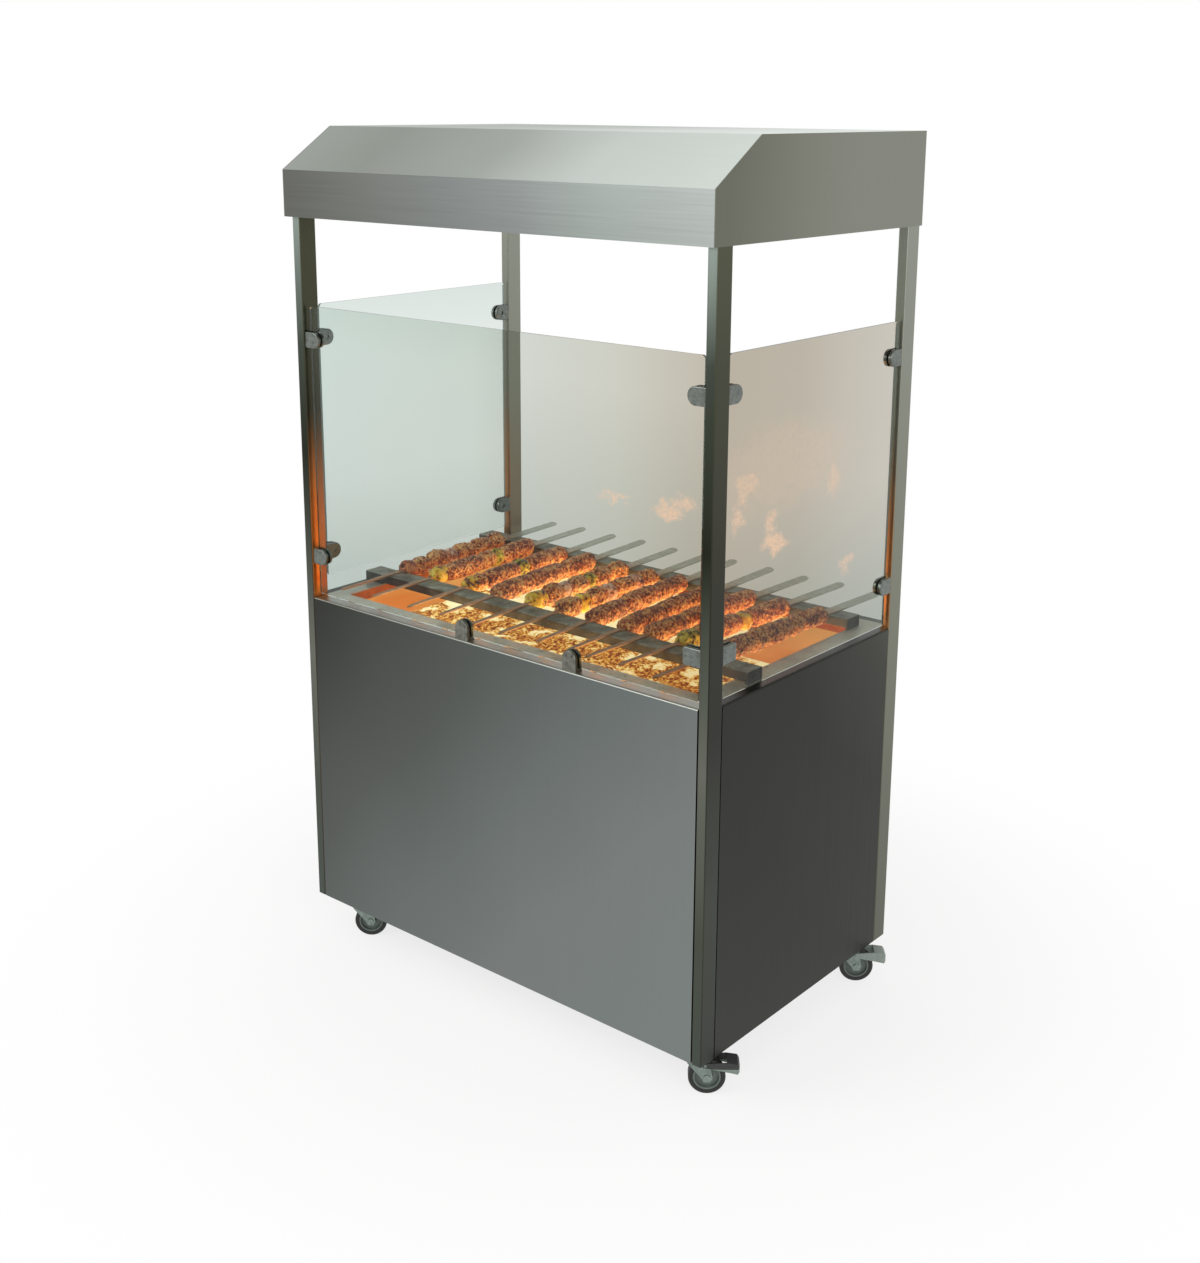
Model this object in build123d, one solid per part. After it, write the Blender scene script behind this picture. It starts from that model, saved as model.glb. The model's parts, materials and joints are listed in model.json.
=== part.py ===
from build123d import *
import math
import os

# Charcoal kebab grill on castors: a cabinet with a fire trough in its top, a hood on
# four corner posts, glass on three sides, and eleven flat skewers on two rails.
# Millimetres. The customer's side is -Y, +X is to the customer's right, Z = 0 is the floor.

# Cabinet
cabinet_width = 1200.0
cabinet_depth = 742.0
castor_height = 100.0
cabinet_height = 784.0
sheet = 2.0
pan_depth = 16.0
panel_gap = 2.0
panel_edge_radius = 4.0
front_ledge_fold = 34.0
side_ledge_fold = 25.0
rear_ledge_fold = 25.0

# Frame of rectangular tube
post_x = 24.0
post_y = 48.0
post_wall = 2.0
post_radius = 3.0
ring_tube_width = 25.0
ring_tube_height = 40.0
ring_tube_wall = 2.0
gusset_thickness = 6.0
gusset_margin = 8.0

# Hood
hood_clearance = 905.0
fascia_height = 105.0
hood_slope_run = 144.0
hood_slope_rise = 95.0
hood_front_overhang = 18.0
hood_side_overhang = 5.0
hood_return = 25.0

# Deck opening and fire trough
opening_left_ledge = 68.0
opening_right_ledge = 72.0
opening_front_ledge = 72.0
opening_rear_ledge = 80.0
opening_flange = 20.0
trough_depth = 88.0
trough_wall = 2.0
brick_below_deck = 24.0
brick_zone = 172.0
brick_length = 230.0
brick_joint = 3.0
ash_slot_margin = 24.0
grate_thickness = 10.0
grate_bar = 12.0
grate_pitch = 36.0
ember_slab = 34.0
lump_pitch = 58.0
lump_radius = 25.0
lump_height = 24.0
low_lump_height = 14.0

# Skewer rails
rail_end_room = 48.0
rail_width = 52.0
rail_height = 21.0
rail_wall = 2.5
rail_foot = 6.0
rail_end_plate = 4.0
front_rail_set_back = 180.0
rear_rail_inset = 124.0
front_rail_left_inset = 14.0
rear_rail_left_inset = -19.0

# Skewers and kebabs
skewer_count = 11
skewer_length = 815.0
skewer_thickness = 3.0
skewer_tip_width = 11.0
skewer_front_width = 15.0
skewer_rear_width = 25.0
skewer_handle_width = 28.0
skewer_point = 14.0
skewer_first_x = 98.0
skewer_last_x = 152.0
skewer_tip_room = 5.0
kebab_end_gap = 6.0
kebab_sides = 10
tip_reach = (0.0, 9.0, 7.0, 13.0, 5.0, 3.0, 15.0, 15.0, 6.0, 16.0, 0.0)
front_shift = (0.0, 3.0, 30.0, 33.0, 42.0, 37.0, 43.0, 35.0, -2.0, -13.0, -6.0)
skewer_yaw = (2.4, 2.4, 3.3, 3.4, 2.8, 2.0, 3.6, 1.9, -1.7, -2.6, -2.8)

# Glass
glass_thickness = 6.0
glass_set_back = 13.0
side_glass_set_in = 10.0
glass_post_gap = 10.0
glass_height = 692.0
glass_foot = 9.0
left_glass_foot = 41.0
glass_corner = 8.0

# Glass clamps
clamp_length = 45.0
clamp_height = 38.0
clamp_thickness = 24.0
clamp_pad = 1.0
clamp_edge_room = 1.0
clamp_screw_radius = 5.0
clamp_screw_depth = 2.5
clamp_edge_radius = 2.5
square_clamp_corner = 5.0
clamp_low = 103.0
clamp_high = 623.0
ledge_clamp_places = (-83.0, 233.0)

# Castors
castor_inset_left = 100.0
castor_inset_right = 52.0
castor_inset_front = 52.0
castor_inset_rear = 88.0
castor_plate_x = 88.0
castor_plate_y = 68.0
castor_plate_thickness = 4.0
wheel_radius = 40.0
wheel_width = 26.0
wheel_rim = 4.0
tyre_thickness = 10.0
tyre_chamfer = 3.0
castor_trail = 25.0
castor_heading = 38.5
race_radius = 23.0
race_height = 8.0
crown_thickness = 3.7
kingpin_radius = 6.0
axle_radius = 5.0
running_fit = 0.08
seat_gap = 0.3
fork_leg = 3.0
fork_gap = 1.5
pedal_width_clear = 0.5
pedal_plate = 2.5
pedal_skin = 3.0
pedal_reach = 94.0
pedal_depth = 19.0
pedal_corner = 7.0
pedal_floor = 16.0

# Rear doors and ash drawer
door_side_margin = 34.0
door_foot = 152.0
door_head = 655.0
door_gap = 3.0
door_mullion = 24.0
door_handle_length = 150.0
door_handle_reach = 32.0
door_handle_bar = 10.0
hinge_radius = 5.0
hinge_pin_radius = 2.5
hinge_knuckle = 28.0
hinge_leaf = 2.0
hinge_leaf_width = 24.0
hinge_axial_gap = 0.5
hinge_inset = 90.0
drawer_brick_margin = 9.0
drawer_height = 82.0
drawer_wall = 1.5
drawer_below_trough = 8.0
drawer_overlap = 12.0
drawer_handle_length = 180.0
runner_leg = 22.0

# Levels and edges that follow from the sizes above
base_z = castor_height
deck_z = castor_height + cabinet_height
hood_z = deck_z + hood_clearance
fascia_z = hood_z + fascia_height
hood_top_z = fascia_z + hood_slope_rise
side_x = cabinet_width / 2
front_y = -cabinet_depth / 2
rear_y = cabinet_depth / 2
post_inner_x = side_x - post_x
post_inner_y = rear_y - post_y
panel_half_x = post_inner_x - panel_gap
panel_half_y = post_inner_y - panel_gap / 2
ring_outer_x = side_x - pan_depth
ring_outer_y = rear_y - pan_depth
ring_inner_x = ring_outer_x - ring_tube_width
ring_inner_y = ring_outer_y - ring_tube_width
floor_z = base_z + ring_tube_height
trough_left = -side_x + opening_left_ledge
trough_right = side_x - opening_right_ledge
trough_front = front_y + opening_front_ledge
trough_rear = rear_y - opening_rear_ledge
trough_floor_z = deck_z - sheet - trough_depth
trough_under_z = trough_floor_z - trough_wall
brick_top_z = deck_z - brick_below_deck
left_brick_edge = trough_left + sheet + trough_wall + brick_zone
right_brick_edge = trough_right - sheet - trough_wall - brick_zone
slab_z = trough_floor_z + grate_thickness + ember_slab
rail_z = deck_z + rail_foot + rail_height
front_rail_y = front_y + front_rail_set_back
rear_rail_y = rear_y - rear_rail_inset
glass_front_y = front_y + glass_set_back
glass_foot_z = deck_z + glass_foot
glass_head_z = glass_foot_z + glass_height
side_glass_x = side_x - side_glass_set_in - glass_thickness
skewer_tip_y = glass_front_y + glass_thickness + skewer_tip_room
rail_length = cabinet_width - rail_end_room
skewer_pitch = (cabinet_width - skewer_first_x - skewer_last_x) / (skewer_count - 1)
drawer_width = 2 * (min(-left_brick_edge, right_brick_edge) - drawer_brick_margin)
drawer_top_z = trough_under_z - drawer_below_trough
drawer_z = drawer_top_z - drawer_height
heading = math.radians(castor_heading)


def block(x0, x1, y0, y1, z0, z1):
    """A box between two opposite corners."""
    return Pos((x0 + x1) / 2, (y0 + y1) / 2, (z0 + z1) / 2) * Box(x1 - x0, y1 - y0, z1 - z0)


def prism_x(points, x0, x1):
    """A (y, z) outline drawn out along X from x0 to x1."""
    outline = make_face(Polyline(*[(x0, y, z) for y, z in points], close=True))
    return extrude(outline, amount=x1 - x0, dir=(1, 0, 0))


def rod(x, y, z0, z1, radius):
    """An upright round bar."""
    return Pos(x, y, (z0 + z1) / 2) * Cylinder(radius, z1 - z0)


def cross_rod(y0, y1, x, z, radius):
    """A round bar along Y."""
    return Pos(x, (y0 + y1) / 2, z) * Rot(90, 0, 0) * Cylinder(radius, y1 - y0)


def tube_z(x, y, z0, z1, size_x, size_y, wall, radius):
    """An upright rectangular tube with rounded corners."""
    outline = RectangleRounded(size_x, size_y, radius)
    bore = RectangleRounded(size_x - 2 * wall, size_y - 2 * wall, max(radius - wall, 0.5))
    return Pos(x, y, z0) * extrude(outline - bore, amount=z1 - z0)


def tube_between(x0, x1, y0, y1, z0, z1, wall, along):
    """A rectangular tube that lies along X or Y and fills the given box."""
    outer = block(x0, x1, y0, y1, z0, z1)
    if along == "x":
        return outer - block(x0 - 1, x1 + 1, y0 + wall, y1 - wall, z0 + wall, z1 - wall)
    return outer - block(x0 + wall, x1 - wall, y0 - 1, y1 + 1, z0 + wall, z1 - wall)


def corners():
    """The signs of the four corners of the cabinet."""
    return [(sx, sy) for sy in (-1, 1) for sx in (-1, 1)]


def make_posts(sy):
    """Two corner posts that run from the castors' level up to the hood."""
    y = sy * (rear_y - post_y / 2)
    return [
        tube_z(sx * (side_x - post_x / 2), y, base_z, hood_z, post_x, post_y, post_wall, post_radius)
        for sx in (-1, 1)
    ]


def castor_places():
    """Swivel axis of each castor, front left first."""
    left = -side_x + castor_inset_left
    right = side_x - castor_inset_right
    front = front_y + castor_inset_front
    rear = rear_y - castor_inset_rear
    return [(left, front), (right, front), (left, rear), (right, rear)]


def make_base_frame():
    """A lower and an upper ring of tube between the posts, with a gusset over each castor."""
    solids = []
    for z0 in (base_z, deck_z - sheet - ring_tube_height):
        z1 = z0 + ring_tube_height
        for s in (-1, 1):
            ys = sorted((s * ring_outer_y, s * ring_inner_y))
            solids.append(tube_between(-post_inner_x, post_inner_x, *ys, z0, z1, ring_tube_wall, "x"))
            xs = sorted((s * ring_outer_x, s * ring_inner_x))
            solids.append(tube_between(*xs, -post_inner_y, post_inner_y, z0, z1, ring_tube_wall, "y"))
    for (x, y), (sx, sy) in zip(castor_places(), corners()):
        xs = sorted((sx * ring_inner_x, x - sx * (castor_plate_x / 2 + gusset_margin)))
        ys = sorted((sy * ring_inner_y, y - sy * (castor_plate_y / 2 + gusset_margin)))
        solids.append(block(*xs, *ys, base_z, base_z + gusset_thickness))
    return solids


def make_pan(half_width, z0, z1, top_fold):
    """A folded sheet panel facing -Y with its skin at y = 0, and a wider fold along its top."""
    outer = block(-half_width, half_width, 0, pan_depth, z0, z1)
    inner = block(-half_width + sheet, half_width - sheet, sheet, pan_depth + 1, z0 + sheet, z1 - sheet)
    pan = outer - inner
    if top_fold > pan_depth:
        pan = pan + block(-half_width, half_width, pan_depth - 1, top_fold, z1 - sheet, z1)
    top = pan.edges().filter_by(Axis.X).group_by(Axis.Z)[-1].sort_by(Axis.Y)[0]
    return fillet(top, min(panel_edge_radius, sheet * 1.95))


def make_front_panel():
    pan = make_pan(panel_half_x, base_z, deck_z, front_ledge_fold)
    return [Pos(0, front_y, 0) * pan]


def make_side_panel(sx):
    pan = make_pan(panel_half_y, base_z, deck_z, side_ledge_fold)
    return [Pos(sx * side_x, 0, 0) * Rot(0, 0, sx * 90) * pan]


def door_span(sx):
    """Left and right edge of one door opening in the rear panel."""
    inner = door_mullion / 2
    outer = panel_half_x - door_side_margin
    return sorted((sx * inner, sx * outer))


def make_rear_panel():
    """The face frame of the operator's side, with openings for two doors and the ash drawer."""
    pan = Pos(0, rear_y, 0) * Rot(0, 0, 180) * make_pan(panel_half_x, base_z, deck_z, rear_ledge_fold)
    for sx in (-1, 1):
        x0, x1 = door_span(sx)
        pan -= block(x0, x1, ring_outer_y - 1, rear_y + 1, door_foot, door_head)
    half = drawer_width / 2 + door_gap
    pan -= block(-half, half, ring_outer_y - 1, rear_y + 1, drawer_z - door_gap, drawer_top_z + door_gap)
    return [pan]


def make_cabinet_floor():
    """The storage floor on the lower ring, notched round the posts."""
    floor = block(-ring_outer_x, ring_outer_x, -ring_outer_y, ring_outer_y, floor_z, floor_z + sheet)
    for sx, sy in corners():
        xs = sorted((sx * (post_inner_x - panel_gap / 2), sx * side_x))
        ys = sorted((sy * (post_inner_y - panel_gap / 2), sy * rear_y))
        floor -= block(*xs, *ys, floor_z - 1, floor_z + sheet + 1)
    return [floor]


def hinge_levels():
    """Middle height of the two hinges of a rear door."""
    return (door_foot + hinge_inset, door_head - hinge_inset)


def make_door(sx):
    """A folded door with a bow handle and the moving knuckle of each hinge."""
    x0, x1 = door_span(sx)
    x0, x1 = x0 + door_gap, x1 - door_gap
    z0, z1 = door_foot + door_gap, door_head - door_gap
    half = (x1 - x0) / 2
    door = Pos((x0 + x1) / 2, rear_y, 0) * Rot(0, 0, 180) * make_pan(half, z0, z1, 0)
    hinge_x = sx * (panel_half_x - door_side_margin - door_gap / 2)
    hinge_y = rear_y + hinge_radius
    for z in hinge_levels():
        low, high = z - hinge_knuckle / 2, z + hinge_knuckle / 2
        leaf = sorted((hinge_x, hinge_x - sx * hinge_leaf_width))
        knuckle = rod(hinge_x, hinge_y, low, high, hinge_radius)
        door += knuckle + block(*leaf, rear_y, rear_y + hinge_leaf, low, high)
        door -= rod(hinge_x, hinge_y, low - 1, high + 1, hinge_pin_radius + running_fit)
    grip_x = sx * (door_mullion / 2 + door_gap + 34)
    door += bow_handle(grip_x, (z0 + z1) / 2 + 60, door_handle_length, upright=True)
    return [door]


def bow_handle(x, z, length, upright, y=None):
    """A bent round-bar handle that stands off a rear face."""
    y = rear_y if y is None else y
    radius = door_handle_bar / 2
    reach = door_handle_reach - radius
    bend = 14.0
    half = length / 2 - radius
    path = FilletPolyline((-half, 0, 0), (-half, reach, 0), (half, reach, 0), (half, 0, 0), radius=bend)
    bar = sweep(Plane(origin=(-half, 0, 0), z_dir=(0, 1, 0)) * Circle(radius), path=path)
    turn = Rot(0, 90, 0) if upright else Rot(0, 0, 0)
    return Pos(x, y, z) * turn * bar


def make_hinge_pins():
    """Fixed knuckles, leaves and pins of the four door hinges."""
    solids = []
    for sx in (-1, 1):
        hinge_x = sx * (panel_half_x - door_side_margin - door_gap / 2)
        hinge_y = rear_y + hinge_radius
        for z in hinge_levels():
            reach = 1.5 * hinge_knuckle + hinge_axial_gap
            pin = rod(hinge_x, hinge_y, z - reach, z + reach, hinge_pin_radius)
            for s in (-1, 1):
                near = z + s * (hinge_knuckle / 2 + hinge_axial_gap)
                low, high = sorted((near, z + s * reach))
                leaf = sorted((hinge_x, hinge_x + sx * hinge_leaf_width))
                pin += rod(hinge_x, hinge_y, low, high, hinge_radius)
                pin += block(*leaf, rear_y, rear_y + hinge_leaf, low, high)
            solids.append(pin)
    return solids


def make_ash_drawer():
    """A tray under the grate, with an overlapping front on the operator's side and a bow handle."""
    half = drawer_width / 2
    front = trough_front + ash_slot_margin
    face = rear_y + seat_gap
    tray = block(-half, half, front, face, drawer_z, drawer_top_z)
    tray -= block(
        -half + drawer_wall, half - drawer_wall, front + drawer_wall, face - drawer_wall,
        drawer_z + drawer_wall, drawer_top_z + 1,
    )
    plate = block(
        -half - drawer_overlap, half + drawer_overlap, face, face + sheet,
        drawer_z - drawer_overlap, drawer_top_z + drawer_overlap,
    )
    handle = bow_handle(0, (drawer_z + drawer_top_z) / 2, drawer_handle_length, False, face + sheet)
    return [tray + plate + handle]


def make_drawer_runners():
    """Two angles under the trough that carry the ash drawer's edges."""
    solids = []
    for sx in (-1, 1):
        web_x = sx * (drawer_width / 2 + door_gap)
        xs = sorted((web_x, web_x + sx * sheet))
        leg = sorted((web_x + sx * sheet, web_x - sx * runner_leg))
        low = drawer_z - seat_gap
        web = block(*xs, trough_front, trough_rear, low - sheet, trough_under_z)
        solids.append(web + block(*leg, trough_front, trough_rear, low - sheet, low))
    return solids


def make_deck_frame():
    """The worktop sheet between the folded ledges, with a flanged opening for the fire."""
    z0 = deck_z - sheet
    left, right = -side_x + side_ledge_fold, side_x - side_ledge_fold
    front, rear = front_y + front_ledge_fold, rear_y - rear_ledge_fold
    deck = block(left, right, front, rear, z0, deck_z)
    deck += block(
        trough_left, trough_right, trough_front, trough_rear, deck_z - opening_flange, deck_z
    )
    deck -= block(
        trough_left + sheet, trough_right - sheet, trough_front + sheet, trough_rear - sheet,
        deck_z - opening_flange - 1, deck_z + 1,
    )
    return [deck]


def make_fire_trough():
    """A sheet box welded inside the deck's opening, open below its grate."""
    x0, x1 = trough_left + sheet, trough_right - sheet
    y0, y1 = trough_front + sheet, trough_rear - sheet
    trough = block(x0, x1, y0, y1, trough_under_z, deck_z - sheet)
    trough -= block(
        x0 + trough_wall, x1 - trough_wall, y0 + trough_wall, y1 - trough_wall,
        trough_floor_z, deck_z,
    )
    trough -= block(
        left_brick_edge + ash_slot_margin, right_brick_edge - ash_slot_margin,
        y0 + ash_slot_margin, y1 - ash_slot_margin, trough_under_z - 1, trough_floor_z + 1,
    )
    return [trough]


def make_firebrick_lining():
    """Rows of firebrick that floor both ends of the trough."""
    y0 = trough_front + sheet + trough_wall
    y1 = trough_rear - sheet - trough_wall
    rows = max(1, round((y1 - y0) / brick_length))
    row = (y1 - y0) / rows
    solids = []
    for x0, x1 in (
        (trough_left + sheet + trough_wall, left_brick_edge),
        (right_brick_edge, trough_right - sheet - trough_wall),
    ):
        for i in range(rows):
            low = y0 + i * row + (brick_joint / 2 if i else 0)
            high = y0 + (i + 1) * row - (brick_joint / 2 if i < rows - 1 else 0)
            brick = block(x0, x1, low, high, trough_floor_z, brick_top_z)
            rim = brick.faces().sort_by(Axis.Z)[-1].edges()
            solids.append(chamfer(rim, 2))
    return solids


def make_charcoal_grate():
    """A flat grate of bars across the ash slot."""
    x0, x1 = left_brick_edge, right_brick_edge
    y0 = trough_front + sheet + trough_wall
    y1 = trough_rear - sheet - trough_wall
    z0, z1 = trough_floor_z, trough_floor_z + grate_thickness
    grate = block(x0, x1, y0, y1, z0, z1)
    count = int((x1 - x0 - 2 * grate_bar) // grate_pitch)
    start = (x0 + x1) / 2 - (count - 1) * grate_pitch / 2
    slot = (grate_pitch - grate_bar) / 2
    slots = [
        block(start + i * grate_pitch - slot, start + i * grate_pitch + slot, *span, z0 - 1, z1 + 1)
        for i in range(count)
        for span in ((y0 + grate_bar, -grate_bar / 2), (grate_bar / 2, y1 - grate_bar))
    ]
    return [grate - slots]


def scatter(i, j, k):
    """A fixed, uneven number between -1 and 1 for the lump at row i and column j."""
    value = math.sin(12.9898 * i + 78.233 * j + 37.719 * k) * 43758.5453
    return 2 * (value - math.floor(value)) - 1


def lump(x, y, z, radius, height, i, j):
    """One faceted piece of charcoal on a flat underside."""
    sides = 6
    turn = scatter(i, j, 5) * 30

    def ring(level, scale):
        plane = Plane(origin=(x, y, z + level))
        return plane * Rot(0, 0, turn) * RegularPolygon(radius * scale, sides)

    return loft([ring(0, 0.82), ring(height * 0.45, 1.0), ring(height, 0.5)], ruled=True)


def coal_reaches(x, y):
    """Where the fire lies: over the grate, and on the bricks of the front right corner."""
    if x > right_brick_edge:
        return y < trough_front + 2.2 * brick_length * (1 - (x - right_brick_edge) / brick_zone * 0.45)
    return x > left_brick_edge


def make_charcoal_bed():
    """A bed of embers on the grate, with separate lumps on top."""
    x0, x1 = left_brick_edge, right_brick_edge
    y0 = trough_front + sheet + trough_wall
    y1 = trough_rear - sheet - trough_wall
    z0 = trough_floor_z + grate_thickness
    solids = [block(x0, x1, y0, y1, z0, slab_z)]
    across = int((trough_right - sheet - trough_wall - x0) // lump_pitch)
    along = int((y1 - y0) // lump_pitch)
    room = lump_pitch / 2 - lump_radius
    for i in range(across):
        for j in range(along):
            x = x0 + (i + 0.5) * lump_pitch + room * scatter(i, j, 1)
            y = y0 + (j + 0.5) * lump_pitch + room * scatter(i, j, 2)
            if not coal_reaches(x, y) or abs(x - x1) < lump_radius + 1:
                continue
            level = brick_top_z if x > x1 else slab_z
            height = low_lump_height if x > x1 else lump_height
            height *= 1 - 0.25 * abs(scatter(i, j, 3))
            solids.append(lump(x, y, level, lump_radius * (1 - 0.15 * abs(scatter(i, j, 4))), height, i, j))
    return solids


def make_rail(y, left_inset):
    """A skewer rail: a tube closed by two end plates that stand on the side ledges."""
    x0 = -side_x + left_inset
    x1 = x0 + rail_length
    z0, z1 = deck_z + rail_foot, rail_z
    tube = block(x0, x1, y, y + rail_width, z0, z1)
    tube -= block(
        x0 + rail_end_plate, x1 - rail_end_plate, y + rail_wall, y + rail_width - rail_wall,
        z0 + rail_wall, z1 - rail_wall,
    )
    tube = fillet(tube.edges().filter_by(Axis.X).group_by(Axis.Z)[-1], 2)
    for a, b in ((x0, x0 + rail_end_plate), (x1 - rail_end_plate, x1)):
        tube += block(a, b, y, y + rail_width, deck_z, z0 + rail_wall)
    tube += block(-side_x + side_ledge_fold, trough_left - 4, y + 6, y + rail_width - 6, deck_z, z0)
    return [tube]


def skewer_pose(i):
    """Where the tip of skewer i lies, and how its blade is turned."""
    x = -side_x + skewer_first_x + i * skewer_pitch + front_shift[i % len(front_shift)]
    y = skewer_tip_y + tip_reach[i % len(tip_reach)]
    return Pos(x, y, rail_z) * Rot(0, 0, skewer_yaw[i % len(skewer_yaw)])


def skewer_blade():
    """A flat skewer from its point at the origin to a slanted handle end along +Y."""
    neck_front = front_rail_set_back - glass_set_back - glass_thickness + rail_width
    neck_rear = rear_rail_y - front_y - glass_set_back - glass_thickness
    end = skewer_length
    widths = (
        (skewer_point, skewer_tip_width), (neck_front, skewer_front_width),
        (neck_rear, skewer_rear_width), (neck_rear + 60, skewer_handle_width),
    )
    right = [(w / 2, y) for y, w in widths]
    left = [(-w / 2, y) for y, w in reversed(widths)]
    tail = [
        (skewer_handle_width / 2, end - 26), (skewer_handle_width / 2 - 5, end - 9),
        (-skewer_handle_width / 2 + 9, end), (-skewer_handle_width / 2, end - 6),
    ]
    outline = make_face(Polyline((0, 0), *right, *tail, *left, close=True))
    return extrude(outline, amount=skewer_thickness)


def chunk(radius, length, kind):
    """One threaded piece: its kind, how long it is, and how its radius swells along it."""
    swell = {
        "meat": (0.78, 1.0, 0.97, 0.74), "slice": (0.96, 1.0, 0.96), "pepper": (0.7, 1.0, 0.86),
        "mince": (0.86, 1.0, 0.9, 1.0, 0.86),
    }[kind]
    count = len(swell) - 1
    return [(length * k / count, radius * s) for k, s in enumerate(swell)]


# What is threaded on each skewer, front to rear: kind, length share and radius
menus = (
    (("slice", 1.0, 23), ("meat", 2.2, 22), ("meat", 2.4, 24), ("slice", 0.9, 20), ("meat", 2.4, 23),
     ("meat", 2.4, 22), ("meat", 2.2, 23)),
    (("pepper", 1.9, 22), ("mince", 5.0, 22), ("meat", 2.0, 23), ("slice", 0.9, 22), ("mince", 5.0, 22)),
    (("slice", 1.1, 21), ("pepper", 1.4, 21), ("mince", 4.2, 23), ("pepper", 1.5, 22), ("mince", 5.4, 22)),
    (("mince", 4.6, 22), ("mince", 4.8, 23), ("mince", 4.4, 22)),
    (("pepper", 1.8, 22), ("meat", 2.2, 24), ("slice", 1.0, 22), ("meat", 2.4, 24), ("slice", 0.9, 20),
     ("meat", 2.4, 23), ("meat", 2.2, 22)),
    (("meat", 2.2, 23), ("pepper", 1.2, 22), ("meat", 2.2, 24), ("slice", 0.9, 23), ("meat", 2.6, 24),
     ("slice", 0.9, 22), ("meat", 2.4, 22)),
    (("mince", 4.6, 22), ("mince", 4.8, 23), ("mince", 4.4, 21)),
    (("mince", 5.0, 23), ("mince", 4.4, 22), ("mince", 4.4, 22)),
    (("mince", 4.4, 22), ("mince", 5.0, 23), ("mince", 4.2, 22)),
    (("pepper", 2.0, 22), ("mince", 4.6, 22), ("pepper", 1.4, 21), ("mince", 4.6, 22)),
    (("mince", 4.0, 23), ("meat", 2.0, 24), ("mince", 4.2, 22), ("meat", 2.2, 22), ("mince", 3.6, 21)),
)


def kebab_span():
    """Start and length of the food along a blade, between the two rails."""
    start = front_rail_y + rail_width + kebab_end_gap
    end = rear_rail_y - kebab_end_gap
    return start, end - start


def polygon_at(y, radius):
    """A regular polygon across the blade."""
    plane = Plane(origin=(0, y, skewer_thickness / 2), x_dir=(1, 0, 0), z_dir=(0, 1, 0))
    return plane * RegularPolygon(radius, kebab_sides)


def make_kebab(i, blade):
    """The food on skewer i, cut so that the blade passes through it."""
    menu = menus[i % len(menus)]
    start, length = kebab_span()
    start -= skewer_tip_y + tip_reach[i % len(tip_reach)]
    slant = math.radians(abs(skewer_yaw[i % len(skewer_yaw)]))
    side_room = max(size for _, _, size in menu) * math.sin(slant)
    start = (start + side_room) / math.cos(slant)
    length = (length - 2 * side_room) / math.cos(slant)
    total = sum(share for _, share, _ in menu)
    food = None
    for kind, share, radius in menu:
        part = length * share / total
        rings = [polygon_at(start + y, r) for y, r in chunk(radius, part, kind)]
        piece = loft(rings, ruled=True)
        food = piece if food is None else food + piece
        start += part
    return food - blade


def make_skewers():
    """Every skewer with its food, as (blade, food) pairs."""
    pairs = []
    for i in range(skewer_count):
        blade = skewer_blade()
        pose = skewer_pose(i)
        pairs.append((pose * blade, pose * make_kebab(i, blade)))
    return pairs


def make_front_glass():
    x = post_inner_x - glass_post_gap
    pane = block(-x, x, glass_front_y, glass_front_y + glass_thickness, glass_foot_z, glass_head_z)
    return [fillet(pane.edges().filter_by(Axis.Y), glass_corner)]


def make_side_glass(sx, foot):
    y = post_inner_y - glass_post_gap
    xs = sorted((sx * side_glass_x, sx * (side_glass_x + glass_thickness)))
    pane = block(*xs, -y, y, deck_z + foot, glass_head_z)
    return [fillet(pane.edges().filter_by(Axis.X), glass_corner)]


def make_clamp(inner, square):
    """A clamp with its flat back at x = 0 and the glass in its slot along X.

    The end away from the post is round, or square with rounded corners. A screw is sunk in
    the face on the side of inner. Returns the metal body and its two rubber pads.
    """
    straight = clamp_length - clamp_height / 2
    if square:
        outline = Pos(clamp_length / 2, 0) * Rectangle(clamp_length, clamp_height)
        outline = fillet(outline.vertices().group_by(Axis.X)[-1], square_clamp_corner)
    else:
        outline = Pos(straight / 2, 0) * Rectangle(straight, clamp_height)
        outline += Pos(straight, 0) * Circle(clamp_height / 2)
    face = Plane(origin=(0, clamp_thickness / 2, 0), x_dir=(1, 0, 0), z_dir=(0, -1, 0)) * outline
    body = extrude(face, amount=clamp_thickness)
    rims = body.edges().group_by(Axis.Y)
    rim = [edge for edge in rims[0] + rims[-1] if edge.center().X > clamp_edge_radius]
    body = fillet(rim, clamp_edge_radius)
    slot = glass_thickness / 2 + clamp_pad
    body -= block(
        glass_post_gap - clamp_edge_room, clamp_length + 1, -slot, slot, -clamp_height, clamp_height
    )
    screw = sorted((inner * (clamp_thickness / 2 - clamp_screw_depth), inner * clamp_thickness))
    body -= cross_rod(*screw, straight, 0, clamp_screw_radius)
    pads = []
    for s in (-1, 1):
        y0, y1 = sorted((s * glass_thickness / 2, s * slot))
        pads.append(block(
            glass_post_gap + 2, straight + clamp_height / 4, y0, y1,
            -clamp_height / 2 + 6, clamp_height / 2 - 6,
        ))
    return body, pads


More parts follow.
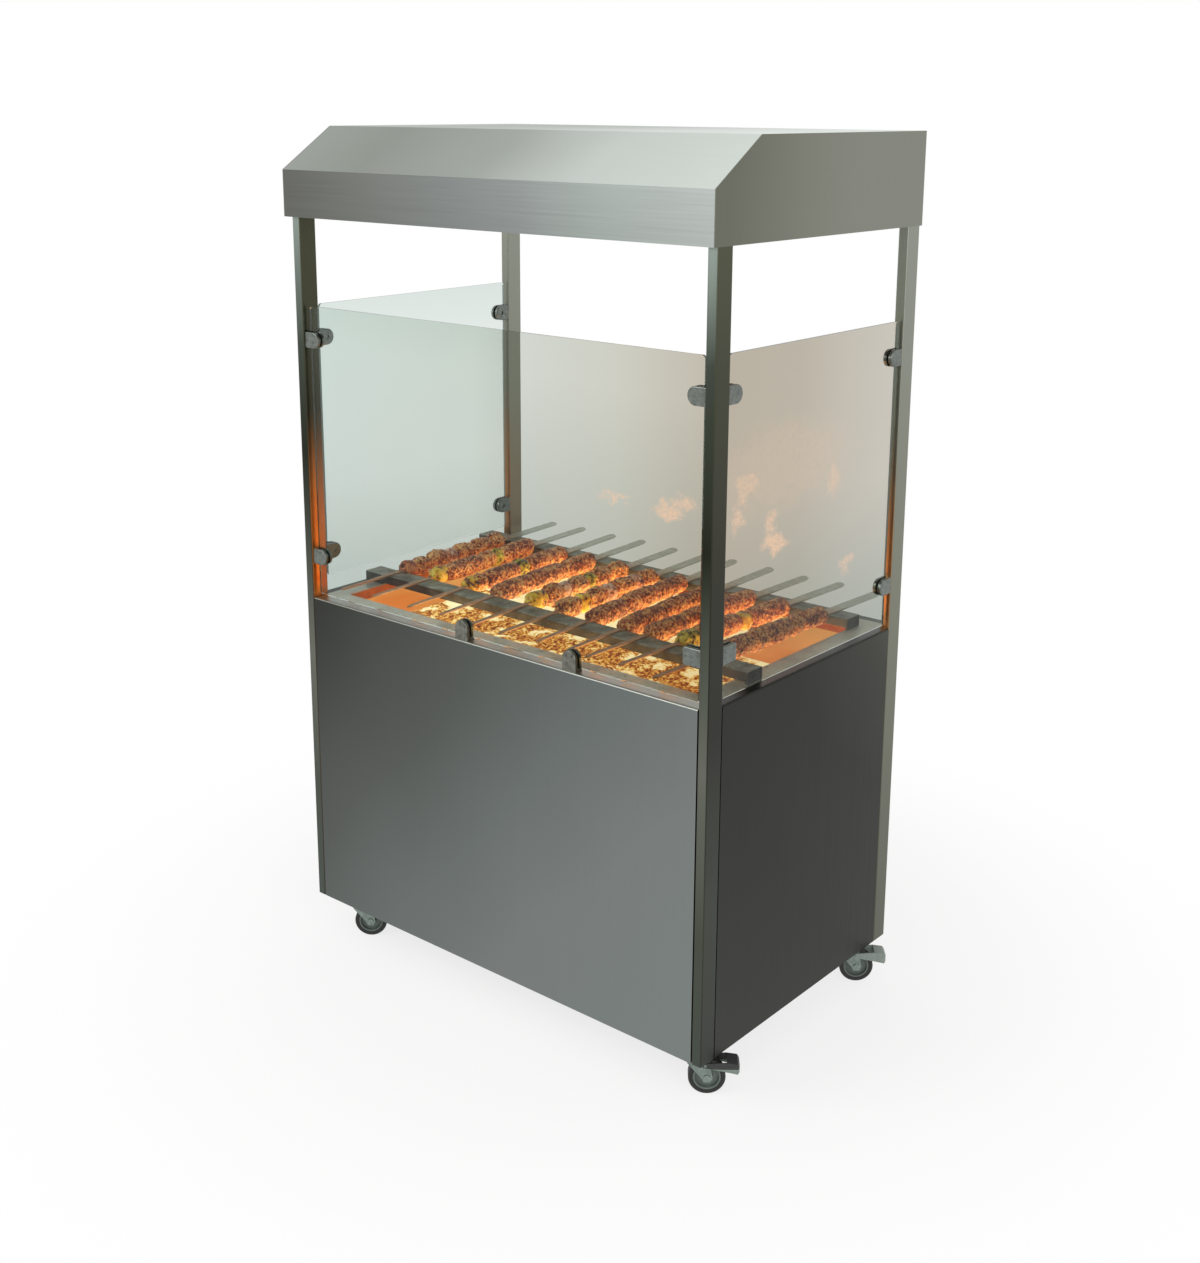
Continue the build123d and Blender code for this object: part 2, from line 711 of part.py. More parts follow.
def clamp_poses():
    """Place, inner side and squareness of every clamp: on the posts, and on the front ledge.

    Only the lower clamp at the front pane's right edge and the one beside it are square.
    """
    levels = (deck_z + clamp_low, deck_z + clamp_high)
    front = glass_front_y + glass_thickness / 2
    poses = []
    for z in levels:
        square = z == levels[0]
        poses.append((Pos(-post_inner_x, front, z), 1, False))
        poses.append((Pos(post_inner_x, front, z) * Rot(0, 0, 180), -1, square))
        for sx in (-1, 1):
            x = sx * (side_glass_x + glass_thickness / 2)
            poses.append((Pos(x, -post_inner_y, z) * Rot(0, 0, 90), sx, square and sx > 0))
            poses.append((Pos(x, post_inner_y, z) * Rot(0, 0, -90), -sx, False))
    for x in ledge_clamp_places:
        poses.append((Pos(x, front, deck_z) * Rot(0, -90, 0), 1, False))
    return poses


def make_clamps():
    bodies, pads = [], []
    for pose, inner, square in clamp_poses():
        body, pair = make_clamp(inner, square)
        bodies.append(pose * body)
        pads += [pose * pad for pad in pair]
    return bodies, pads


def hood_outline(inset):
    """The hood's side profile as (y, z) points, moved inwards by inset."""
    front = front_y - hood_front_overhang + inset
    slope = math.hypot(hood_slope_run, hood_slope_rise)
    crease = inset * (slope - hood_slope_run) / hood_slope_rise
    brow = inset * (slope - hood_slope_rise) / hood_slope_run
    knee_y = front_y - hood_front_overhang + hood_slope_run
    return [
        (front, hood_z + inset), (front, fascia_z - brow),
        (knee_y + crease, hood_top_z - inset), (rear_y - inset, hood_top_z - inset),
        (rear_y - inset, hood_z + inset),
    ]


def make_hood_canopy():
    """Fascia, slope, top and rear wall in one folded sheet, with a return along both lower edges."""
    x = side_x + hood_side_overhang - sheet
    shell = prism_x(hood_outline(0), -x, x) - prism_x(hood_outline(sheet), -x - 1, x + 1)
    shell -= block(
        -x - 1, x + 1, front_y - hood_front_overhang + hood_return, rear_y - hood_return,
        hood_z - 1, hood_z + sheet + 1,
    )
    return [shell]


def make_hood_cheeks():
    """The two flat end plates of the hood, each with a return that lies on the posts."""
    solids = []
    for sx in (-1, 1):
        outer = sx * (side_x + hood_side_overhang)
        inner = outer - sx * sheet
        plate = prism_x(hood_outline(0), *sorted((outer, inner)))
        xs = sorted((inner, outer - sx * hood_return))
        fold = block(
            *xs, front_y - hood_front_overhang + hood_return, rear_y - hood_return,
            hood_z, hood_z + sheet,
        )
        solids.append(plate + fold)
    return solids


def make_castor_plates():
    """The top plate, swivel race and kingpin of each castor."""
    solids = []
    race_z = castor_height - castor_plate_thickness - race_height
    nut_top = race_z - seat_gap - crown_thickness - seat_gap
    for x, y in castor_places():
        half_x, half_y = castor_plate_x / 2, castor_plate_y / 2
        plate = block(
            x - half_x, x + half_x, y - half_y, y + half_y,
            castor_height - castor_plate_thickness, castor_height,
        )
        plate = fillet(plate.edges().filter_by(Axis.Z), 5)
        for sx, sy in corners():
            plate -= rod(x + sx * (half_x - 12), y + sy * (half_y - 11), 0, castor_height + 1, 4.2)
        plate += rod(x, y, race_z, castor_height - castor_plate_thickness, race_radius)
        plate += rod(x, y, nut_top, race_z, kingpin_radius)
        plate += rod(x, y, nut_top - 3.5, nut_top, kingpin_radius + 3)
        solids.append(plate)
    return solids


def make_fork():
    """A castor fork that trails along +X from its swivel axis at x = 0, with its wheel's axle."""
    crown_z = castor_height - castor_plate_thickness - race_height - seat_gap
    under_z = crown_z - crown_thickness
    inner = wheel_width / 2 + fork_gap
    outer = inner + fork_leg
    crown = rod(0, 0, under_z, crown_z, race_radius)
    crown += block(-outer, castor_trail + 4, -outer, outer, under_z, crown_z)
    crown -= rod(0, 0, under_z - 1, crown_z + 1, kingpin_radius + running_fit)
    fork = crown
    points = [
        (-outer, crown_z), (castor_trail + 4, crown_z), (castor_trail + 12, wheel_radius),
        (castor_trail + 7, wheel_radius - 10), (castor_trail - 7, wheel_radius - 10),
        (castor_trail - 12, wheel_radius), (-outer, under_z - 8),
    ]
    for s in (-1, 1):
        y0, y1 = sorted((s * inner, s * outer))
        leg = extrude(make_face(Polyline(*[(x, y0, z) for x, z in points], close=True)),
                      amount=y1 - y0, dir=(0, 1, 0))
        fork += leg
        stub = sorted((s * outer, s * (outer + pedal_plate + 1)))
        fork += cross_rod(*stub, *pedal_pivot(), 3)
    reach = outer + 2.5
    fork += cross_rod(-reach, reach, castor_trail, wheel_radius, axle_radius)
    for s in (-1, 1):
        fork += cross_rod(*sorted((s * outer, s * reach)), castor_trail, wheel_radius, axle_radius + 3)
    return fork


def pedal_pivot():
    """The brake lever's pivot on the fork, as (x, z) in the fork's own frame."""
    return (castor_trail - 4, wheel_radius + 31)


def pedal_block(plan, profile):
    """What a plan outline and a side profile have in common, both in the fork's own frame."""
    tall = extrude(plan, amount=2 * wheel_radius)
    width = 2 * wheel_radius
    side = make_face(Polyline(*[(x, -width, z) for x, z in profile], close=True))
    return Pos(0, 0, wheel_radius / 2) * tall & extrude(side, amount=2 * width, dir=(0, 1, 0))


def make_pedal():
    """A brake pedal: a scoop with two cheeks outside the fork's legs, open over the wheel."""
    inner = wheel_width / 2 + fork_gap + fork_leg + pedal_width_clear
    outer = inner + pedal_plate
    px, pz = pedal_pivot()
    back = px - 6
    rim = castor_trail + wheel_radius + 2
    end = pedal_reach - pedal_plate
    floor = pedal_reach - pedal_floor
    outside = Pos((back + pedal_reach) / 2, 0) * Rectangle(pedal_reach - back, 2 * outer)
    outside = fillet(outside.vertices().group_by(Axis.X)[-1], pedal_corner)
    inside = Pos((back + end) / 2, 0) * Rectangle(end - back + 2, 2 * inner)
    low = pz - pedal_depth
    scoop = pedal_block(outside, [
        (back, pz - 4), (back, pz + 5), (rim, pz + 8), (pedal_reach - 4, pz + 5), (pedal_reach, pz),
        (pedal_reach, low + 4), (pedal_reach - 4, low), (floor - 1, low + 3), (px + 4, pz - 6),
    ])
    scoop -= pedal_block(Pos(-1, 0) * inside, [
        (back - 2, pz - 25), (back - 2, pz + 20), (rim, pz + 20), (rim, pz + 8 - pedal_skin),
        (end - 3, pz + 5 - pedal_skin), (end, pz - 1), (end, low + 1 + pedal_skin),
        (floor, low + 3 + pedal_skin), (floor, pz - 25),
    ])
    return scoop - cross_rod(-outer - 1, outer + 1, px, pz, 3 + running_fit)


def make_wheel():
    """A castor wheel about the Y axis at its own centre: hub and tyre."""
    half = wheel_width / 2
    rim = wheel_radius - tyre_thickness
    bore = axle_radius + running_fit
    hub = make_face(Polyline(
        (bore, 0, -half - 1), (bore + 6, 0, -half - 1), (bore + 8, 0, -4), (rim - wheel_rim, 0, -4),
        (rim - wheel_rim, 0, -half + 1), (rim, 0, -half + 1), (rim, 0, half - 1),
        (rim - wheel_rim, 0, half - 1), (rim - wheel_rim, 0, 4), (bore + 8, 0, 4),
        (bore + 6, 0, half + 1), (bore, 0, half + 1), close=True,
    ))
    tyre = make_face(Polyline(
        (rim, 0, -half), (wheel_radius - tyre_chamfer, 0, -half), (wheel_radius, 0, -half + tyre_chamfer),
        (wheel_radius, 0, half - tyre_chamfer), (wheel_radius - tyre_chamfer, 0, half), (rim, 0, half),
        close=True,
    ))
    return [Rot(90, 0, 0) * revolve(face, Axis.Z) for face in (hub, tyre)]


def castor_pose(x, y):
    return Pos(x, y, 0) * Rot(0, 0, castor_heading)


def build_parts():
    """Every sub-part as a list of solids under its node name."""
    parts = {
        "base_frame": make_base_frame(),
        "front_posts": make_posts(-1),
        "rear_posts": make_posts(1),
        "front_panel": make_front_panel(),
        "left_side_panel": make_side_panel(-1),
        "right_side_panel": make_side_panel(1),
        "rear_panel": make_rear_panel(),
        "cabinet_floor": make_cabinet_floor(),
        "left_door": make_door(-1),
        "right_door": make_door(1),
        "door_hinge_pins": make_hinge_pins(),
        "ash_drawer": make_ash_drawer(),
        "drawer_runners": make_drawer_runners(),
        "deck_frame": make_deck_frame(),
        "fire_trough": make_fire_trough(),
        "firebrick_lining": make_firebrick_lining(),
        "charcoal_grate": make_charcoal_grate(),
        "charcoal_bed": make_charcoal_bed(),
        "front_skewer_rail": make_rail(front_rail_y, front_rail_left_inset),
        "rear_skewer_rail": make_rail(rear_rail_y, rear_rail_left_inset),
        "front_glass": make_front_glass(),
        "left_glass": make_side_glass(-1, left_glass_foot),
        "right_glass": make_side_glass(1, glass_foot),
        "hood_canopy": make_hood_canopy(),
        "hood_cheeks": make_hood_cheeks(),
        "castor_plates": make_castor_plates(),
    }
    parts["glass_clamps"], parts["clamp_pads"] = make_clamps()
    for i, (blade, food) in enumerate(make_skewers(), 1):
        parts[f"skewer_{i:02d}"] = [blade]
        parts[f"kebab_{i:02d}"] = [food]
    names = ("front_left", "front_right", "rear_left", "rear_right")
    for name, (x, y) in zip(names, castor_places()):
        pose = castor_pose(x, y)
        parts[f"castor_fork_{name}"] = [pose * make_fork()]
        hub = pose * Pos(castor_trail, 0, wheel_radius)
        parts[f"castor_wheel_{name}"] = [hub * solid for solid in make_wheel()]
        if name.endswith("right"):
            parts[f"brake_pedal_{name}"] = [pose * make_pedal()]
    return parts


def export_parts(parts):
    """Centre the whole grill on its overall footprint and write one file per sub-part."""
    os.makedirs("parts", exist_ok=True)
    boxes = [solid.bounding_box() for solids in parts.values() for solid in solids]
    centre_x = (min(box.min.X for box in boxes) + max(box.max.X for box in boxes)) / 2
    centre_y = (min(box.min.Y for box in boxes) + max(box.max.Y for box in boxes)) / 2
    shift = Pos(-centre_x, -centre_y, 0)
    for name, solids in parts.items():
        moved = [shift * solid for solid in solids]
        shape = moved[0] if len(moved) == 1 else Compound(children=moved)
        shape.label = name
        export_step(shape, f"parts/{name}.step")
    return centre_x, centre_y


if __name__ == "__main__":
    x, y = export_parts(build_parts())
    print(f"origin at x = {x:.4f}, y = {y:.4f}")
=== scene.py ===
"""Finishes, food, embers, light and camera for a charcoal kebab grill on its CAD frame."""

from __future__ import annotations

import json
import logging
import math
from dataclasses import dataclass, field
from enum import Enum

import bpy
import numpy as np
from mathutils import Matrix, Vector

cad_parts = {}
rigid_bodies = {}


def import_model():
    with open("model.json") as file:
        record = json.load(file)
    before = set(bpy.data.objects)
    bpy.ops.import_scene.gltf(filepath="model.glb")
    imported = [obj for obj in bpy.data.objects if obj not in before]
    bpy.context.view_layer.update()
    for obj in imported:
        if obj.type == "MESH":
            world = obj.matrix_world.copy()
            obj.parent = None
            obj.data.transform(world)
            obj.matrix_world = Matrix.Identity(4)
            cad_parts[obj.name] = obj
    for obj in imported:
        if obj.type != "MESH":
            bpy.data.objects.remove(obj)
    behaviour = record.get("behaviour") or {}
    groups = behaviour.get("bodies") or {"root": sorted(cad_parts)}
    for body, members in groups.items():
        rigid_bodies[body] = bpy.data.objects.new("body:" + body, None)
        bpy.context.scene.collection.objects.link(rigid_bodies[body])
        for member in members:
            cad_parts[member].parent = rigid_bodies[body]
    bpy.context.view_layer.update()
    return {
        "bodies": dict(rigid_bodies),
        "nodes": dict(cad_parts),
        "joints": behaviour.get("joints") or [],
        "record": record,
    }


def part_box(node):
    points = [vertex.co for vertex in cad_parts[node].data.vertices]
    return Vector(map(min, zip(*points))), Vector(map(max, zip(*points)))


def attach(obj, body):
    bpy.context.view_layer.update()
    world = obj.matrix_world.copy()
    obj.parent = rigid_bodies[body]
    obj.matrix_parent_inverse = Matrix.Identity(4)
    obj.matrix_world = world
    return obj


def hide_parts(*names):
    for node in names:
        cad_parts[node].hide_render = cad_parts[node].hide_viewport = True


MM = 0.001
LOG = logging.getLogger("kebab_grill")

Colour = tuple[float, float, float, float]
Point = tuple[float, float, float]
Stops = tuple[tuple[float, str], ...]
Skin = tuple[np.ndarray, list]
Tree = bpy.types.NodeTree
Socket = bpy.types.NodeSocket
Nodes = dict[str, bpy.types.Object]


def linear(code: str) -> Colour:
    """Turn an sRGB hex colour into linear red, green, blue and alpha.

    Args:
        code: Six hex digits, with or without a leading hash.

    Returns:
        The linear colour with an alpha of one.
    """
    text = code.lstrip("#")
    parts = [int(text[i:i + 2], 16) / 255 for i in (0, 2, 4)]
    values = [c / 12.92 if c <= 0.04045 else ((c + 0.055) / 1.055) ** 2.4 for c in parts]
    return values[0], values[1], values[2], 1.0


def add(tree: Tree, kind: str, links: dict | None = None, stops: Stops = (), out: str | int = 0,
        **settings: object) -> Socket | None:
    """Add a shader node with its settings, socket values and links.

    Args:
        tree: Node tree that takes the node.
        kind: Blender's type name of the node, without "ShaderNode".
        links: Socket name or number to a value, a hex colour, or an output socket to link.
        stops: Positions and hex colours of a colour ramp.
        out: Name or number of the wanted output socket.
        settings: Properties to set on the node.

    Returns:
        The wanted output socket, or None for a node without outputs.
    """
    node = tree.nodes.new(f"ShaderNode{kind}")
    for name, value in settings.items():
        setattr(node, name, value)
    if stops:
        elements = node.color_ramp.elements
        while len(elements) < len(stops):
            elements.new(0.5)
        for element, (position, colour) in zip(elements, stops):
            element.position = position
            element.color = linear(colour)
    for socket, value in (links or {}).items():
        if isinstance(value, Socket):
            tree.links.new(value, node.inputs[socket])
        else:
            node.inputs[socket].default_value = linear(value) if isinstance(value, str) else value
    return node.outputs[out] if node.outputs else None


def facing(tree: Tree, way: Point | Socket) -> Socket:
    """Build how far each face looks one way.

    Args:
        tree: Node tree of the material.
        way: The way, as a unit vector or its socket.

    Returns:
        Socket from -1 for faces that look the other way to 1.
    """
    normal = add(tree, "NewGeometry", out="Normal")
    return add(tree, "VectorMath", {0: normal, 1: way}, operation="DOT_PRODUCT", out="Value")


def seen(tree: Tree) -> Socket:
    """Build which rays see a thing directly, in a mirror or through glass.

    Args:
        tree: Node tree of the material or the world.

    Returns:
        Socket with one for those rays and zero for the rays that only carry light.
    """
    rays = add(tree, "LightPath").node.outputs
    shown = add(tree, "Math", {0: rays["Is Camera Ray"], 1: rays["Is Glossy Ray"]}, operation="MAXIMUM")
    return add(tree, "Math", {0: shown, 1: rays["Is Transmission Ray"]}, operation="MAXIMUM")


@dataclass(frozen=True)
class Finish:
    """A named surface finish; each kind of finish builds its own node tree."""

    name: str

    def make(self) -> bpy.types.Material:
        """Return the Blender material of this finish, building it on first use."""
        known = bpy.data.materials.get(self.name)
        if known:
            return known
        material = bpy.data.materials.new(self.name)
        material.use_nodes = True
        tree = material.node_tree
        tree.nodes.clear()
        surface = self.build(tree)
        add(tree, "OutputMaterial", {"Surface": surface})
        return material

    def build(self, tree: Tree) -> Socket:
        """Build the surface shader.

        Args:
            tree: Empty node tree of the material.

        Returns:
            The shader's output socket.
        """
        raise NotImplementedError


@dataclass(frozen=True)
class BrushedSheet(Finish):
    """Brushed stainless sheet: a dull satin metal with a fine directional grain.

    The tone runs along one direction as painted reflection and shade, as on sheet that
    mirrors a softly lit room, with broad clouds of painted reflection. Faces that look
    along a second direction can have tones of their own, a painted reflection of another
    part of the room, and faces that look at the fire can take painted firelight near the worktop.
    """

    tones: Stops = ((0.0, "#4a4a46"), (1.0, "#6c706d"))
    run: Point = (1.0, 0.0, 0.0)
    span: tuple[float, float] = (-0.6, 0.6)
    turned: Point = (0.0, 0.0, 1.0)
    turned_tones: Stops = ()
    cloud: float = 0.06
    cloud_size: float = 0.55
    grain: Point = (0.004, 0.004, 0.35)
    streak: float = 0.035
    roughness: float = 0.36
    # Colour of painted firelight on faces that look at the fire; empty for none.
    fire: str = ""
    fire_z: tuple[float, float] = (1.02, 1.36)
    fire_way: Point = (-1.0, -1.0, 0.0)

    def paint_firelight(self, tree: Tree, place: Socket, shown: Socket) -> Socket:
        """Paint firelight on the faces that look at the fire, most near the worktop.

        Args:
            tree: Node tree of the material.
            place: Socket of the place on the piece.
            shown: Socket of the colour so far.

        Returns:
            Socket of the tinted colour.
        """
        level = add(tree, "VectorMath", {0: place, 1: self.fire_way}, operation="MULTIPLY")
        inward = add(tree, "VectorMath", {0: level}, operation="NORMALIZE")
        share = add(tree, "MapRange", {"Value": facing(tree, inward), "From Min": 0.2, "From Max": 0.8})
        along_z = add(tree, "SeparateXYZ", {0: place}, out="Z")
        fall = add(tree, "MapRange", {
            "Value": along_z, "From Min": self.fire_z[0], "From Max": self.fire_z[1],
            "To Min": 1.0, "To Max": 0.0}, interpolation_type="SMOOTHSTEP")
        amount = add(tree, "Math", {0: share, 1: fall}, operation="MULTIPLY")
        return add(tree, "Mix", {0: amount, 6: shown, 7: self.fire}, data_type="RGBA", out=2)

    def build(self, tree: Tree) -> Socket:
        """Build the sheet: painted reflection tone by place and cloud, grain in colour, roughness and
        bump.

        Args:
            tree: Empty node tree of the material.

        Returns:
            The shader's output socket.
        """
        place = add(tree, "TexCoord", out="Object")
        # Painted reflection and shade: the tone runs along one direction and shifts in broad clouds.
        along = add(tree, "VectorMath", {0: place, 1: self.run}, operation="DOT_PRODUCT", out="Value")
        fade = add(tree, "MapRange", {"Value": along, "From Min": self.span[0], "From Max": self.span[1]})
        clouds = add(tree, "TexNoise", {
            "Vector": place, "Scale": 1 / self.cloud_size, "Detail": 2.0, "Roughness": 0.4})
        shift = add(tree, "MapRange", {
            "Value": clouds, "From Min": 0.25, "From Max": 0.75,
            "To Min": -self.cloud, "To Max": self.cloud})
        tone = add(tree, "Math", {0: fade, 1: shift}, operation="ADD", use_clamp=True)
        shown = add(tree, "ValToRGB", {"Fac": tone}, self.tones)
        # Painted reflection: faces that look along the turned direction take tones of their own.
        if self.turned_tones:
            other = add(tree, "ValToRGB", {"Fac": tone}, self.turned_tones)
            share = add(tree, "MapRange", {
                "Value": facing(tree, self.turned), "From Min": 0.3, "From Max": 0.6})
            shown = add(tree, "Mix", {0: share, 6: shown, 7: other}, data_type="RGBA", out=2)
        # Painted firelight on the faces that look at the fire.
        if self.fire:
            shown = self.paint_firelight(tree, place, shown)
        stretch = add(tree, "Mapping", {"Vector": place, "Scale": tuple(1 / size for size in self.grain)})
        lines = add(tree, "TexNoise", {"Vector": stretch, "Scale": 1.0, "Detail": 3.0, "Roughness": 0.6})
        streaks = add(tree, "MapRange", {
            "Value": lines, "From Min": 0.3, "From Max": 0.7,
            "To Min": 1 - self.streak, "To Max": 1 + self.streak})
        grained = add(tree, "VectorMath", {0: shown, "Scale": streaks}, operation="SCALE")
        gloss = add(tree, "MapRange", {
            "Value": lines, "From Min": 0.3, "From Max": 0.7,
            "To Min": self.roughness - 0.04, "To Max": self.roughness + 0.05})
        bump = add(tree, "Bump", {"Height": lines, "Strength": 0.03, "Distance": 0.001})
        return add(tree, "BsdfPrincipled", {
            "Base Color": grained, "Metallic": 1.0, "Roughness": gloss, "Normal": bump})


@dataclass(frozen=True)
class SootySteel(Finish):
    """Steel that smoke, grease and heat have darkened in patches, with dry specks on top, painted shade on
    its side faces and at times a painted glow of firelight.
    """

    clean: str = "#5a5953"
    soot: str = "#2e2c28"
    rust: str = "#453c32"
    patch: float = 0.035
    speck: float = 0.006
    soot_share: float = 0.4
    roughness: float = 0.45
    # Painted firelight: an emitted glow on the steel that stands in for the embers' light.
    glow: str = "#000000"
    glow_strength: float = 0.0
    metal: float = 0.85
    # Share of colour kept on side faces: painted shade, one for none.
    painted_wall_shade: float = 1.0

    def build(self, tree: Tree) -> Socket:
        """Build the steel: broad soot patches, small crusty specks, a warm stain, painted shade on the
        side faces and a painted glow.

        Args:
            tree: Empty node tree of the material.

        Returns:
            The shader's output socket.
        """
        place = add(tree, "TexCoord", out="Object")
        patches = add(tree, "TexNoise", {
            "Vector": place, "Scale": 1 / self.patch, "Detail": 6.0, "Roughness": 0.6})
        low = 0.5 - 0.3 * (1 - self.soot_share)
        base = add(tree, "ValToRGB", {"Fac": patches}, (
            (low, self.soot), (low + 0.14, self.rust), (low + 0.3, self.clean)))
        specks = add(tree, "TexNoise", {
            "Vector": place, "Scale": 1 / self.speck, "Detail": 3.0, "Roughness": 0.7})
        crust = add(tree, "MapRange", {"Value": specks, "From Min": 0.60, "From Max": 0.70})
        colour = add(tree, "Mix", {0: crust, 6: base, 7: self.soot}, data_type="RGBA", out=2)
        # Painted shade: faces that don't look up keep only a set share of their colour.
        painted_wall_shade_factor = add(tree, "MapRange", {
            "Value": facing(tree, (0.0, 0.0, 1.0)), "From Min": 0.2, "From Max": 0.6,
            "To Min": self.painted_wall_shade})
        shown = add(tree, "VectorMath", {0: colour, "Scale": painted_wall_shade_factor}, operation="SCALE")
        bump = add(tree, "Bump", {"Height": specks, "Strength": 0.25, "Distance": 0.001})
        rough = add(tree, "MapRange", {"Value": crust, "To Min": self.roughness, "To Max": 0.8})
        return add(tree, "BsdfPrincipled", {
            "Base Color": shown, "Metallic": self.metal, "Roughness": rough, "Normal": bump,
            "Emission Color": self.glow, "Emission Strength": self.glow_strength})


@dataclass(frozen=True)
class SkewerSteel(Finish):
    """Flat rolled steel: bright grey at the handle, browned by heat and grease over the fire."""

    hot: str = "#c29a7c"
    cool: str = "#c6c9c0"
    hot_y: float = 0.18
    cool_y: float = 0.28

    def build(self, tree: Tree) -> Socket:
        """Build the steel: a change of tint along the blade, a lengthwise grain and stains.

        Args:
            tree: Empty node tree of the material.

        Returns:
            The shader's output socket.
        """
        place = add(tree, "TexCoord", out="Object")
        along_y = add(tree, "SeparateXYZ", {0: place}, out="Y")
        heat = add(tree, "MapRange", {"Value": along_y, "From Min": self.hot_y, "From Max": self.cool_y})
        stretch = add(tree, "Mapping", {"Vector": place, "Scale": (700.0, 20.0, 700.0)})
        lines = add(tree, "TexNoise", {"Vector": stretch, "Scale": 1.0, "Detail": 4.0})
        stain = add(tree, "TexNoise", {"Vector": place, "Scale": 90.0, "Detail": 4.0})
        both = add(tree, "Math", {0: lines, 1: stain}, operation="MULTIPLY")
        tint = add(tree, "ValToRGB", {"Fac": heat}, ((0.0, self.hot), (1.0, self.cool)))
        shade = add(tree, "MapRange", {
            "Value": both, "From Min": 0.12, "From Max": 0.38, "To Min": 0.78, "To Max": 1.16})
        colour = add(tree, "VectorMath", {0: tint, "Scale": shade}, operation="SCALE")
        return add(tree, "BsdfPrincipled", {"Base Color": colour, "Metallic": 0.9, "Roughness": 0.5})


@dataclass(frozen=True)
class Firebrick(Finish):
    """Fired clay brick: matte and porous, with a painted glow of firelight on it."""

    light: str = "#a05022"
    dark: str = "#742e10"
    # Colours and strength of the painted firelight glow.
    glow: str = "#f2ac5c"
    ember: str = "#f6842c"
    strength: float = 1.35
    front_y: float = -0.36
    rear_y: float = 0.22

    def build(self, tree: Tree) -> Socket:
        """Build the brick: grit of a few millimetres, broad heat marks and a low painted glow of
        firelight, stronger towards the rear.

        Args:
            tree: Empty node tree of the material.

        Returns:
            The shader's output socket.
        """
        place = add(tree, "TexCoord", out="Object")
        broad = add(tree, "TexNoise", {"Vector": place, "Scale": 9.0, "Detail": 3.0})
        grit = add(tree, "TexNoise", {"Vector": place, "Scale": 260.0, "Detail": 3.0})
        colour = add(tree, "ValToRGB", {"Fac": broad}, ((0.3, self.dark), (0.7, self.light)))
        along_y = add(tree, "SeparateXYZ", {0: place}, out="Y")
        # Painted firelight: the glow grows from the front towards the rear.
        painted_rear_glow = add(tree, "MapRange", {
            "Value": along_y, "From Min": self.front_y, "From Max": self.rear_y,
            "To Min": -0.2, "To Max": 0.3})
        heat = add(tree, "Math", {0: broad, 1: painted_rear_glow}, operation="ADD")
        glow = add(tree, "ValToRGB", {"Fac": heat}, ((0.35, self.ember), (0.75, self.glow)))
        bump = add(tree, "Bump", {"Height": grit, "Strength": 0.3, "Distance": 0.001})
        return add(tree, "BsdfPrincipled", {
            "Base Color": colour, "Roughness": 0.85, "Normal": bump, "Emission Color": glow,
            "Emission Strength": self.strength})


@dataclass(frozen=True)
class Embers(Finish):
    """Burning charcoal: smooth yellow-white glow, with crumbly orange and brown lumps in it.

    It burns hottest along its middle and cools towards its front and rear strips.
    """

    patch: float = 0.055
    crumb: float = 0.0075
    middle_y: float = -0.03
    reach_y: float = 0.25
    strength: float = 2.2

    def build(self, tree: Tree) -> Socket:
        """Build the embers: hot patches that run smooth and cooler ones that are crumbly.

        Args:
            tree: Empty node tree of the material.

        Returns:
            The shader's output socket.
        """
        place = add(tree, "TexCoord", out="Object")
        along_y = add(tree, "SeparateXYZ", {0: place}, out="Y")
        aside = add(tree, "Math", {0: along_y, 1: self.middle_y}, operation="SUBTRACT")
        gap = add(tree, "Math", {0: aside}, operation="ABSOLUTE")
        core = add(tree, "MapRange", {
            "Value": gap, "From Min": 0.05, "From Max": self.reach_y, "To Min": 0.16, "To Max": -0.03})
        broad = add(tree, "TexNoise", {
            "Vector": place, "Scale": 1 / self.patch, "Detail": 2.5, "Roughness": 0.5})
        fine = add(tree, "TexNoise", {
            "Vector": place, "Scale": 1 / self.crumb, "Detail": 3.0, "Roughness": 0.65})
        level = add(tree, "Math", {0: broad, 1: core}, operation="ADD")
        ragged = add(tree, "Math", {0: fine, 1: 0.3, 2: level}, operation="MULTIPLY_ADD")
        hot = add(tree, "MapRange", {
            "Value": ragged, "From Min": 0.62, "From Max": 0.80}, interpolation_type="SMOOTHSTEP")
        crumbs = add(tree, "MapRange", {
            "Value": fine, "From Min": 0.36, "From Max": 0.62, "To Max": 0.78})
        heat = add(tree, "Mix", {0: hot, 2: crumbs, 3: 1.0}, data_type="FLOAT")
        colour = add(tree, "ValToRGB", {"Fac": heat}, (
            (0.0, "#8c3410"), (0.3, "#ca661e"), (0.55, "#ec983c"), (0.76, "#fac464"), (1.0, "#ffe8b8")))
        power = add(tree, "MapRange", {"Value": heat, "To Min": 1.0, "To Max": self.strength})
        bump = add(tree, "Bump", {"Height": fine, "Strength": 0.6, "Distance": 0.004})
        return add(tree, "BsdfPrincipled", {
            "Base Color": "#2a1a12", "Roughness": 0.9, "Normal": bump, "Emission Color": colour,
            "Emission Strength": power})


